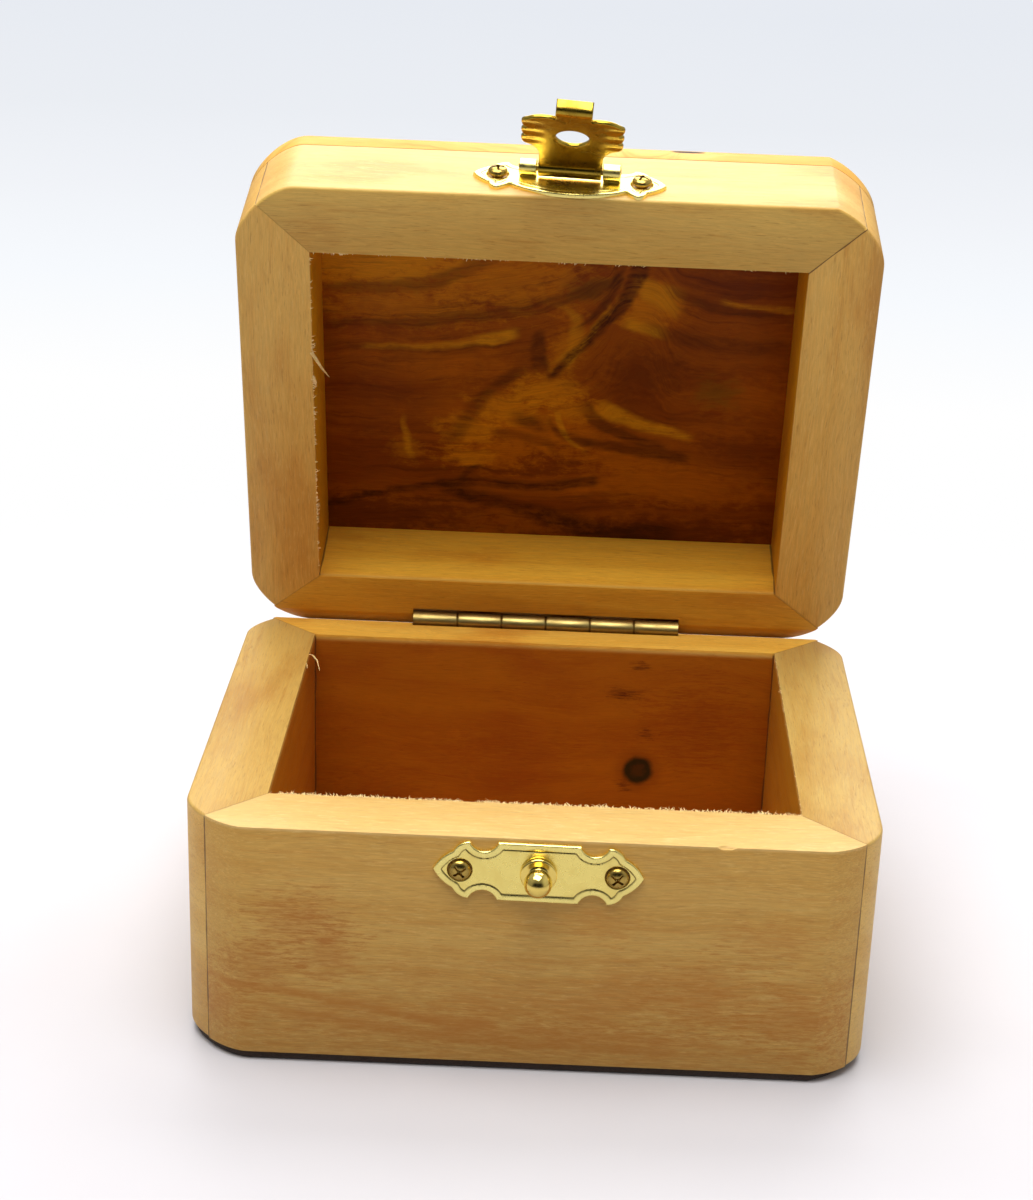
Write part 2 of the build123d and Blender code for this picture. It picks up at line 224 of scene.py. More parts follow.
class Graph:
    """Adds nodes to a node tree. Its methods take numbers, tuples or sockets, and give a socket.

    Args:
        tree: The node tree to add to.
    """

    def __init__(self, tree: Tree) -> None:
        """Keeps the tree."""
        self.tree = tree

    def node(self, kind: str, **settings: object) -> Node:
        """Adds one node and sets its properties.

        Args:
            kind: The node's type.
            settings: Its properties.

        Returns:
            The node.
        """
        made = self.tree.nodes.new(kind)
        for name, value in settings.items():
            setattr(made, name, value)
        return made

    def feed(self, socket: Socket, value: object) -> None:
        """Links a socket or sets a constant on it.

        Args:
            socket: The input.
            value: A socket, a constant, or None to leave it.
        """
        if isinstance(value, Socket):
            self.tree.links.new(value, socket)
        elif value is not None:
            socket.default_value = value

    def fill(self, node: Node, **values: object) -> Node:
        """Feeds a node's inputs by name, with underscores for spaces, and returns the node.

        Args:
            node: The node.
            values: What its inputs get.

        Returns:
            The node.
        """
        for name, value in values.items():
            self.feed(node.inputs[name.replace("_", " ")], value)
        return node

    def out(self, kind: str, output: str, **settings: object) -> Socket:
        """One output of a new node."""
        return self.node(kind, **settings).outputs[output]

    def first(self, kind: str) -> Node:
        """The tree's first node of a kind."""
        return next(node for node in self.tree.nodes if node.type == kind)

    def math(self, operation: str, a: object, b: object = None, c: object = None) -> Socket:
        """A math node.

        Args:
            operation: What it does.
            a: Its first value.
            b: Its second.
            c: Its third.

        Returns:
            The socket with the result.
        """
        made = self.node("ShaderNodeMath", operation=operation)
        for socket, value in zip(made.inputs, (a, b, c)):
            self.feed(socket, value)
        return made.outputs[0]

    def times(self, a: object, b: object) -> Socket:
        """The product of two values."""
        return self.math("MULTIPLY", a, b)

    def plus(self, a: object, b: object) -> Socket:
        """The sum of two values."""
        return self.math("ADD", a, b)

    def minus(self, a: object, b: object) -> Socket:
        """The difference of two values."""
        return self.math("SUBTRACT", a, b)

    def size(self, a: object) -> Socket:
        """A value without its sign."""
        return self.math("ABSOLUTE", a)

    def vector(self, operation: str, a: object, b: object = None, scale: object = None) -> Socket:
        """A vector math node.

        Args:
            operation: What it does.
            a: Its first vector.
            b: Its second.
            scale: Its scale.

        Returns:
            The socket with the result.
        """
        made = self.node("ShaderNodeVectorMath", operation=operation)
        self.feed(made.inputs[0], a)
        self.feed(made.inputs[1], b)
        self.feed(made.inputs[3], scale)
        value_out = operation in ("DOT_PRODUCT", "LENGTH", "DISTANCE")
        return made.outputs[1 if value_out else 0]

    def scaled(self, vector: object, scale: object) -> Socket:
        """A vector made longer or shorter."""
        return self.vector("SCALE", vector, scale=scale)

    def moved(self, place: object, way: object) -> Socket:
        """A place moved by a vector."""
        return self.vector("ADD", place, way)

    def offset(self, place: object, origin: object) -> Socket:
        """The way from an origin to a place."""
        return self.vector("SUBTRACT", place, origin)

    def split(self, vector: object) -> tuple[Socket, Socket, Socket]:
        """The three parts of a vector.

        Args:
            vector: The vector.

        Returns:
            Its parts.
        """
        made = self.node("ShaderNodeSeparateXYZ")
        self.feed(made.inputs[0], vector)
        return made.outputs[0], made.outputs[1], made.outputs[2]

    def join(self, x: object = 0.0, y: object = 0.0, z: object = 0.0) -> Socket:
        """A vector from three parts.

        Args:
            x: The first part.
            y: The second.
            z: The third.

        Returns:
            The socket with the result.
        """
        made = self.node("ShaderNodeCombineXYZ")
        for socket, value in zip(made.inputs, (x, y, z)):
            self.feed(socket, value)
        return made.outputs[0]

    def noise(
        self, vector: object, stretch: tuple = EVEN, detail: float = 2.0, roughness: float = 0.5,
        distortion: float = 0.0, colour: bool = False,
    ) -> Socket:
        """Noise over a vector whose parts are scaled by stretch, in cycles per millimetre.

        Args:
            vector: The place.
            stretch: Cycles per millimetre in each direction.
            detail: Its detail.
            roughness: Strength of the detail.
            distortion: How far it is twisted.
            colour: Whether to give its colour.

        Returns:
            The socket with the result.
        """
        scaled = self.vector("MULTIPLY", vector, stretch)
        made = self.node("ShaderNodeTexNoise", noise_dimensions="3D")
        self.fill(made, Vector=scaled, Scale=1.0, Detail=detail, Roughness=roughness, Distortion=distortion)
        return made.outputs["Color" if colour else "Fac"]

    def swing(self, vector: object, stretch: tuple, detail: float) -> Socket:
        """A noise vector whose parts swing about zero."""
        return self.offset(self.noise(vector, stretch, detail, colour=True), (0.5, 0.5, 0.5))

    def curve(self, value: object, knots: Sequence[Point]) -> Socket:
        """A smooth curve through knots, from 0 to 1 both ways.

        Args:
            value: Where on the curve, from 0 to 1.
            knots: The knots, from left to right.

        Returns:
            The socket with the result.
        """
        made = self.fill(self.node("ShaderNodeFloatCurve"), Value=value)
        line = made.mapping.curves[0]
        line.points[0].location, line.points[1].location = knots[0], knots[-1]
        for knot in knots[1:-1]:
            line.points.new(*knot)
        made.mapping.update()
        return made.outputs["Value"]

    def step(
        self, value: object, low: object, high: object, to_low: object = 0.0, to_high: object = 1.0
    ) -> Socket:
        """A smooth step from to_low to to_high as value goes from low to high.

        Args:
            value: The value.
            low: Where the step starts.
            high: Where it ends.
            to_low: What it gives there.
            to_high: What it gives at its end.

        Returns:
            The socket with the result.
        """
        made = self.node("ShaderNodeMapRange", interpolation_type="SMOOTHSTEP")
        self.fill(made, Value=value, From_Min=low, From_Max=high, To_Min=to_low, To_Max=to_high)
        return made.outputs["Result"]

    def blend(self, mask: object, a: object, b: object, mode: str = "MIX") -> Socket:
        """A mix of two colours.

        Args:
            mask: Share of the second colour.
            a: The first colour.
            b: The second.
            mode: How they mix.

        Returns:
            The socket with the result.
        """
        made = self.node("ShaderNodeMix", data_type="RGBA", blend_type=mode)
        for index, value in ((0, mask), (6, a), (7, b)):
            self.feed(made.inputs[index], value)
        return made.outputs[2]

    def tint(self, colour: object, other: object, mask: object, share: object) -> Socket:
        """A colour with another laid over it, by a mask and a share of it."""
        return self.blend(self.times(mask, share), colour, other)

    def place(self) -> Socket:
        """The place of a point on the shut box, in millimetres."""
        return self.out("ShaderNodeAttribute", "Vector", attribute_name=PLACE)

    def use(self, group: Tree, **values: object) -> Node:
        """Adds a group node and feeds its inputs."""
        return self.fill(self.node("ShaderNodeGroup", node_tree=group), **values)


class Kind(Enum):
    """Kinds of sockets that the groups show."""

    VALUE = "NodeSocketFloat"
    COLOUR = "NodeSocketColor"
    VECTOR = "NodeSocketVector"

    @classmethod
    def of(cls, default: object) -> "Kind":
        """The kind that a default value belongs to.

        Args:
            default: The default value.

        Returns:
            Its kind.
        """
        if not isinstance(default, tuple):
            return cls.VALUE
        return cls.COLOUR if len(default) == len(CLEAR) else cls.VECTOR


class GroupGraph(Graph):
    """A new node group with named sockets.

    Args:
        name: The group's name.
        inputs: Socket names with their defaults, which also give their kinds.
        outputs: Socket names with their kind.
    """

    def __init__(self, name: str, inputs: dict[str, object], outputs: dict[str, Kind]) -> None:
        """Makes the group and its sockets."""
        super().__init__(bpy.data.node_groups.new(name, "ShaderNodeTree"))
        for label, default in inputs.items():
            kind = Kind.of(default)
            socket = self.tree.interface.new_socket(label, in_out="INPUT", socket_type=kind.value)
            socket.default_value = default
        for label, kind in outputs.items():
            self.tree.interface.new_socket(label, in_out="OUTPUT", socket_type=kind.value)
        self.given = self.node("NodeGroupInput").outputs
        self.end = self.node("NodeGroupOutput")

    def give(self, **values: object) -> Tree:
        """Feeds the group's outputs and returns its tree."""
        self.fill(self.end, **values)
        return self.tree


# ---- Shared effects ----


class Effects:
    """The shared node groups. They give colours, masks, values and heights, never shaders."""

    def __init__(self) -> None:
        """Builds each group once."""
        self.grain = self._grain()
        self.knot = self._knot()
        self.spot = self._spot()
        self.mitre = self._mitre()
        self.metal = self._metal()

    @staticmethod
    def _grain() -> Tree:
        """Grain of a sawn board: growth rings, fibres, pores and soft stains along X.

        Returns:
            The group.
        """
        g = GroupGraph(
            "Wood Grain",
            {
                "Place": ORIGIN, "Seed": 0.0, "Pith": (0, -30, -40),
                "Ring Width": 3.0, "Wave": 3.0,
                "Light": (0.7, 0.45, 0.2, 1), "Ring": (0.6, 0.36, 0.13, 1),
                "Stain": (0.5, 0.24, 0.07, 1), "Pore": (0.3, 0.14, 0.04, 1),
                "Fleck": (0.85, 0.6, 0.25, 1),
                "Ring Share": 0.6, "Stain Share": 0.4, "Pore Share": 0.5,
            },
            {"Color": Kind.COLOUR, "Height": Kind.VALUE, "Roughness": Kind.VALUE},
        )
        shift = g.scaled((37.1, 17.3, 71.7), g.given["Seed"])
        moved = g.moved(g.given["Place"], shift)
        swing = g.swing(moved, (0.02, 0.05, 0.05), 2)
        warp = g.scaled(swing, g.given["Wave"])
        flow = g.moved(moved, warp)
        ring_place = g.moved(g.offset(g.given["Place"], g.given["Pith"]), warp)
        radius = g.vector("LENGTH", g.vector("MULTIPLY", ring_place, (0.04, 1, 1)))
        turns = g.math("DIVIDE", radius, g.given["Ring Width"])
        rings = g.step(g.noise(g.join(turns, g.given["Seed"], 0.0), detail=3, roughness=0.62), 0.38, 0.66)
        fibre = g.noise(flow, (0.06, 1.5, 1.5), 6, 0.62)
        fine = g.noise(flow, (0.3, 6.0, 6.0), 3, 0.6)
        pore = g.step(g.noise(flow, (0.45, 6.0, 6.0), 2, 0.5), 0.60, 0.72)
        fleck = g.step(g.noise(flow, (0.36, 3.0, 3.0), 4, 0.75), 0.52, 0.66)
        dash = g.step(g.noise(g.moved(flow, (9, 5, 3)), (0.3, 2.4, 2.4), 4, 0.75), 0.5, 0.68)
        stain = g.step(g.noise(flow, (0.028, 0.075, 0.075), 3, 0.55), 0.5, 0.72)
        colour = g.tint(g.given["Light"], g.given["Ring"], rings, g.given["Ring Share"])
        colour = g.tint(colour, g.given["Stain"], stain, g.given["Stain Share"])
        streak = g.times(g.step(fibre, 0.5, 0.78), 0.45)
        colour = g.blend(streak, colour, g.given["Stain"])
        colour = g.tint(colour, g.given["Stain"], dash, 0.17)
        colour = g.tint(colour, g.given["Fleck"], fleck, 0.3)
        colour = g.tint(colour, g.given["Pore"], pore, g.given["Pore Share"])
        tone = g.step(fine, 0.25, 0.75, 0.9, 1.08)
        colour = g.scaled(colour, tone)
        height = g.plus(g.times(fibre, 0.6), g.times(fine, 0.4))
        height = g.minus(height, g.times(pore, 0.5))
        return g.give(Color=colour, Height=height, Roughness=g.step(fine, 0.2, 0.8, 0.38, 0.56))

    @staticmethod
    def _way(g: GroupGraph) -> Socket:
        """The way from a group's centre to its place, squeezed by its stretch."""
        return g.vector("MULTIPLY", g.offset(g.given["Place"], g.given["Centre"]), g.given["Stretch"])

    @staticmethod
    def _knot() -> Tree:
        """A knot: a cracked dark heart, its rings, and a halo where the grain darkens around it.

        Returns:
            The group.
        """
        g = GroupGraph(
            "Knot",
            {"Place": ORIGIN, "Centre": ORIGIN, "Stretch": EVEN, "Radius": 2.0},
            {"Heart": Kind.VALUE, "Halo": Kind.VALUE, "Rings": Kind.VALUE},
        )
        offset = Effects._way(g)
        wobble = g.swing(g.given["Place"], (0.8, 0.8, 0.8), 3)
        distance = g.vector("LENGTH", g.moved(offset, g.scaled(wobble, 0.55)))
        share = g.math("DIVIDE", distance, g.given["Radius"])
        uneven = g.math("MULTIPLY_ADD", g.noise(g.given["Place"], (1.6, 1.6, 1.6), 3), 0.5, -0.25)
        rings = g.step(g.plus(share, uneven), 0.66, 0.25)
        return g.give(Heart=g.step(share, 1.2, 0.75), Halo=g.step(share, 2.0, 0.9), Rings=rings)

    @staticmethod
    def _spot() -> Tree:
        """A soft patch whose edge is torn by a noise.

        Returns:
            The group.
        """
        g = GroupGraph(
            "Soft Spot",
            {"Place": ORIGIN, "Centre": ORIGIN, "Stretch": EVEN, "Ragged": 0.5},
            {"Mask": Kind.VALUE},
        )
        offset = Effects._way(g)
        torn = g.step(g.given["Ragged"], 0.3, 0.7, -0.65, 0.65)
        share = g.plus(g.vector("LENGTH", offset), torn)
        return g.give(Mask=g.step(share, 1.15, 0.25))

    @staticmethod
    def _mitre() -> Tree:
        """The thin glue line of the mitres, with a width that wanders along it.

        Returns:
            The group.
        """
        g = GroupGraph(
            "Mitre Line",
            {"Place": ORIGIN, "Inner": (1, 1, 0), "Outer": (2, 2, 0), "Width": 0.1},
            {"Mask": Kind.VALUE},
        )
        x, y, _ = g.split(g.given["Place"])
        flat = g.join(g.size(x), y, 0.0)
        along = g.vector("NORMALIZE", g.offset(g.given["Outer"], g.given["Inner"]))
        offset = g.offset(flat, g.given["Inner"])
        reach = g.vector("DOT_PRODUCT", offset, along)
        distance = g.vector("LENGTH", g.offset(offset, g.scaled(along, reach)))
        wander = g.noise(g.given["Place"], (0.3, 0.3, 0.3), 2)
        width = g.times(g.given["Width"], g.step(wander, 0.3, 0.7, 0.55, 1.35))
        line = g.step(g.math("DIVIDE", distance, width), 1.3, 0.6)
        return g.give(Mask=g.times(line, g.math("GREATER_THAN", reach, -0.5)))

    @staticmethod
    def _metal() -> Tree:
        """Handling wear of plated sheet: clouded lacquer, fine scratches and a faint orange peel.

        Returns:
            The group.
        """
        g = GroupGraph(
            "Metal Wear",
            {
                "Place": ORIGIN, "Bright": (0.9, 0.7, 0.25, 1), "Dull": (0.6, 0.42, 0.12, 1),
                "Tarnish": 0.3, "Polish": 0.12,
            },
            {"Color": Kind.COLOUR, "Roughness": Kind.VALUE, "Height": Kind.VALUE},
        )
        cloud = g.noise(g.given["Place"], (0.35, 0.35, 0.35), 5, 0.62)
        scratch = g.noise(g.given["Place"], (0.6, 9.0, 1.1), 3, 0.7, distortion=0.4)
        peel = g.noise(g.given["Place"], (4.0, 4.0, 4.0), 2, 0.5)
        dull = g.times(g.step(cloud, 0.42, 0.75), g.given["Tarnish"])
        colour = g.blend(dull, g.given["Bright"], g.given["Dull"])
        rough = g.plus(g.given["Polish"], g.times(g.step(cloud, 0.35, 0.8), 0.14))
        rough = g.plus(rough, g.times(g.step(scratch, 0.6, 0.75), 0.1))
        height = g.minus(g.times(peel, 0.5), g.times(g.step(scratch, 0.62, 0.7), 0.3))
        return g.give(Color=colour, Roughness=rough, Height=height)


# ---- Finishes ----


PALE_WOOD: Colour = (0.745, 0.445, 0.105, 1)
PALE_RING: Colour = (0.65, 0.335, 0.055, 1)
KNOT_HEART: Colour = (0.016, 0.007, 0.004, 1)
KNOT_RING: Colour = (0.085, 0.032, 0.014, 1)
SMALL_KNOT: Colour = (0.05, 0.02, 0.01, 1)
GLUE: Colour = (0.10, 0.04, 0.012, 1)
# Painted shade for the plates' engraved lines and the hinge's knuckle seams.
GROOVE_SHADE: Colour = (0.16, 0.09, 0.015, 1)


class Grain(Enum):
    """Which parts of a place run along, across and through a board."""

    ALONG_X = (0, 2, 1)
    ALONG_Y = (1, 2, 0)
    PANEL = (0, 1, 2)


@dataclass(frozen=True)
class Knot:
    """A knot on a board.

    Args:
        centre: Its middle on the shut box, in millimetres.
        stretch: How much each direction is squeezed; a large number keeps it on one face.
        radius: Its radius in millimetres.
    """

    centre: Triple
    stretch: Triple
    radius: float

    def found(self, g: Graph, effects: Effects) -> bpy.types.NodeOutputs:
        """The knot's heart, halo and rings.

        Args:
            g: The material's graph.
            effects: The shared node groups.

        Returns:
            The outputs Heart, Halo and Rings.
        """
        place = g.place()
        return g.use(
            effects.knot, Place=place, Centre=self.centre, Stretch=self.stretch, Radius=self.radius
        ).outputs


@dataclass(frozen=True)
class WoodFinish:
    """One board's wood.

    Args:
        name: The material's name.
        grain: The direction of its grain.
        seed: Moves the pattern, so that no two boards match.
        pith: Where the tree's middle lies from the board, along, across and through, in millimetres.
        ring_width: Width of a growth ring in millimetres.
        wave: How far the grain wanders in millimetres.
        light: Colour of the pale wood.
        ring: Colour of the rings.
        stain: Colour of the stains and streaks.
        pore: Colour of the pores.
        fleck: Colour of the pale flecks.
        shares: Strength of rings, stains and pores.
        cavity_light_and_shade: Tint of its face in the cavity: painted shade, and painted light on the lid's
            back board.
        front_mitre: How dark the joint with the front board looks on the rim.
        back_mitre: How dark the joint with the back board looks there.
        glue_width: Half width of the line of glue in the joints, in millimetres.
        painted_rim_light: Painted light and shade on the rim, a multiply that whitens, brightens or darkens
            it.
        gloss: Strength of its polish.
        knots: Its knots.
        spots: Its soft patches.
        streaks: Its darker streaks, in x and z.
    """

    name: str
    grain: Grain
    seed: float
    pith: Triple = (0.0, -46.0, -30.0)
    ring_width: float = 3.4
    wave: float = 5.0
    light: Colour = PALE_WOOD
    ring: Colour = PALE_RING
    stain: Colour = (0.53, 0.205, 0.022, 1)
    pore: Colour = (0.36, 0.14, 0.022, 1)
    fleck: Colour = (0.84, 0.57, 0.185, 1)
    shares: Triple = (0.6, 0.55, 0.35)
    cavity_light_and_shade: Colour = (0.92, 0.73, 0.05, 1)
    front_mitre: float = 0.3
    back_mitre: float = 0.25
    glue_width: float = 0.13
    painted_rim_light: Colour = CLEAR
    gloss: float = 0.36
    knots: tuple[Knot, ...] = ()
    spots: tuple["Spot", ...] = ()
    streaks: tuple["Streak", ...] = ()

    def grain_place(self, g: Graph) -> Socket:
        """The place with its parts in the order along, across, through."""
        parts = g.split(g.place())
        return g.join(*(parts[index] for index in self.grain.value))

    def surface(self, g: Graph, effects: Effects) -> tuple[Socket, Socket, Socket]:
        """Colour, height and roughness of the plain wood with its knots.

        Args:
            g: The material's graph.
            effects: The shared node groups.

        Returns:
            Colour, height and roughness.
        """
        rings, stains, pores = self.shares
        made = g.use(
            effects.grain, Place=self.grain_place(g), Seed=self.seed, Pith=self.pith,
            Ring_Width=self.ring_width, Wave=self.wave, Light=self.light, Ring=self.ring, Stain=self.stain,
            Pore=self.pore, Fleck=self.fleck, Ring_Share=rings, Stain_Share=stains, Pore_Share=pores,
        )
        colour, height = made.outputs["Color"], made.outputs["Height"]
        if self.spots:
            torn = g.noise(self.grain_place(g), (0.3, 2.0, 2.0), 5, 0.8)
            stroke = g.step(g.noise(self.grain_place(g), (0.42, 3.4, 3.4), 3, 0.7), 0.42, 0.6, 1.0, 0.4)
        if self.streaks:
            x, _, z = g.split(g.place())
            ragged = g.noise(g.place(), (0.25, 0.25, 0.9), 4, 0.65)
            rise = g.math("MULTIPLY_ADD", ragged, 1.6, g.minus(z, 0.8))
            for streak in self.streaks:
                mask = g.times(streak.mask(g, x, rise), g.step(ragged, 0.3, 0.6, 0.3, 1.0))
                colour = g.blend(mask, colour, self.stain)
        plain = colour
        for spot in self.spots:
            colour = spot.over(g, effects, g.place(), torn, colour)
        if self.spots:
            colour = g.blend(stroke, plain, colour)
        for knot in self.knots:
            found = knot.found(g, effects)
            colour = g.tint(colour, self.pore, found["Halo"], 0.55)
            heart = g.blend(found["Rings"], KNOT_HEART, KNOT_RING)
            colour = g.blend(found["Heart"], colour, heart)
            height = g.minus(height, g.times(found["Heart"], 0.6))
        return colour, height, made.outputs["Roughness"]

    def inside(self, g: Graph, colour: Socket, sizes: BoxSizes) -> Socket:
        """Tints the cavity's faces warmer and darker: painted shade, set for each wall by how much light it
        gets.

        Args:
            g: The material's graph.
            colour: The wood's colour.
            sizes: The box's sizes.

        Returns:
            The colour.
        """
        x, y, z = g.split(g.place())
        reach = sizes.cavity_half_width + TRACE
        within = g.math("LESS_THAN", g.size(x), reach)
        within = g.times(within, g.math("GREATER_THAN", y, sizes.cavity_front - TRACE))
        within = g.times(within, g.math("LESS_THAN", y, sizes.cavity_back + TRACE))
        below = g.step(z, sizes.base_rim - 0.25, sizes.base_rim - 1.2)
        above = g.step(z, sizes.lid_rim + 0.25, sizes.lid_rim + 1.2)
        above = g.times(above, g.math("LESS_THAN", z, sizes.lid_joint + PANEL_SKIN))
        within = g.times(within, g.math("MAXIMUM", below, above))
        # Painted light and shade in the cavity: each wall's tint follows how much light reaches it.
        return g.blend(within, colour, self.cavity_light_and_shade, "MULTIPLY")

    def material(self, effects: Effects, sizes: BoxSizes) -> Material:
        """Makes the material.

        Args:
            effects: The shared node groups.
            sizes: The box's sizes, for the mitres.

        Returns:
            The material.
        """
        material, g, shader = new_material(self.name)
        colour, height, roughness = self.surface(g, effects)
        colour = self.inside(g, colour, sizes)
        _, _, z = g.split(g.place())
        from_rim = g.math("MINIMUM", g.size(g.minus(z, sizes.base_rim)), g.size(g.minus(z, sizes.lid_rim)))
        # Painted light and shade on the rims: this tint near the rim's height stands in for how light falls
        # on each board's rim.
        colour = g.blend(g.step(from_rim, 0.55, 0.15), colour, self.painted_rim_light, "MULTIPLY")
        mitres = (
            (sizes.cavity_front, -sizes.half_depth, self.front_mitre),
            (sizes.cavity_back, sizes.half_depth, self.back_mitre),
        )
        for inner_y, outer_y, on_rim in () if self.grain is Grain.PANEL else mitres:
            strength = g.step(from_rim, 0.2, 0.5, on_rim, 0.75)
            line = g.use(
                effects.mitre, Place=g.place(), Inner=(sizes.cavity_half_width, inner_y, 0),
                Outer=(sizes.half_width, outer_y, 0), Width=self.glue_width,
            ).outputs["Mask"]
            colour = g.tint(colour, GLUE, line, strength)
        finish_shader(g, shader, colour, roughness, height, bump=0.25, distance=0.06)
        g.fill(shader, Specular_IOR_Level=self.gloss)
        return material


@dataclass(frozen=True)
class Streak:
    """A curved streak of a figured board.

    Args:
        points: Its route in millimetres; it runs steadily in x, or in y if it is upright.
        widths: Half widths at its start and end.
        feather: How far its sides fade beyond its width.
        strength: How strongly it colours the wood.
        upright: Whether it runs along y.
    """

    points: tuple[Point, ...]
    widths: tuple[float, float]
    feather: float
    strength: float
    upright: bool = False

    def mask(self, g: Graph, x: Socket, y: Socket) -> Socket:
        """The streak's mask at a place.

        Args:
            g: The material's graph.
            x: The place's x.
            y: Its y, or its height on an upright board.

        Returns:
            The mask.
        """
        run, rise = (y, x) if self.upright else (x, y)
        route = [(b, a) for a, b in self.points] if self.upright else list(self.points)
        route.sort()
        start, end = route[0][0], route[-1][0]
        low = min(point[1] for point in route)
        span = max(max(point[1] for point in route) - low, 0.01)
        made = g.fill(g.node("ShaderNodeMapRange"), Value=run, From_Min=start, From_Max=end)
        share = made.outputs["Result"]
        knots = [((at - start) / (end - start), (height - low) / span) for at, height in route]
        centre = g.math("MULTIPLY_ADD", g.curve(share, knots), span, low)
        forward = self.points[0][self.upright] <= self.points[-1][self.upright]
        widths = self.widths if forward else self.widths[::-1]
        width = g.math("MULTIPLY_ADD", share, widths[1] - widths[0], widths[0])
        away = g.minus(g.size(g.minus(rise, centre)), width)
        side = g.step(away, self.feather, 0.0)
        fade = max(self.feather, 1.0)
        before = g.step(run, start - fade, start + fade)
        after = g.step(run, end + fade, end - fade)
        return g.times(g.times(side, before), g.times(after, self.strength))


@dataclass(frozen=True)
class Spot:
    """A soft, ragged patch of another colour.

    Args:
        centre: Its middle on the shut box, in millimetres.
        reach: Its reach in each direction, in millimetres.
        colour: Its colour.
        strength: How strongly it colours the wood.
    """

    centre: Triple
    reach: Triple
    colour: Colour
    strength: float

    def over(self, g: Graph, effects: Effects, place: Socket, ragged: Socket, colour: Socket) -> Socket:
        """Lays the patch over a colour.

        Args:
            g: The material's graph.
            effects: The shared node groups.
            place: The place.
            ragged: The noise that tears its edge.
            colour: The colour under it.

        Returns:
            The colour.
        """
        stretch = tuple(1 / reach for reach in self.reach)
        made = g.use(effects.spot, Place=place, Centre=self.centre, Stretch=stretch, Ragged=ragged)
        return g.tint(colour, self.colour, made.outputs["Mask"], self.strength)


FRONT_FACE = -36.3
BACK_FACE = 27.7


def flat_spot(x: float, y: float, wide: float, deep: float, colour: Colour, strength: float) -> Spot:
    """A patch seen from above."""
    return Spot((x, y, 0), (wide, deep, 1), colour, strength)


def front_spot(x: float, z: float, wide: float, tall: float, colour: Colour, strength: float) -> Spot:
    """A patch on the front board's outer face, which fades into its end grain."""
    return Spot((x, FRONT_FACE, z), (wide, 9.0, tall), colour, strength)


def back_spot(x: float, z: float, wide: float, tall: float, colour: Colour, strength: float) -> Spot:
    """A patch on the back board's face in the cavity."""
    return Spot((x, BACK_FACE, z), (wide, 3.0, tall), colour, strength)


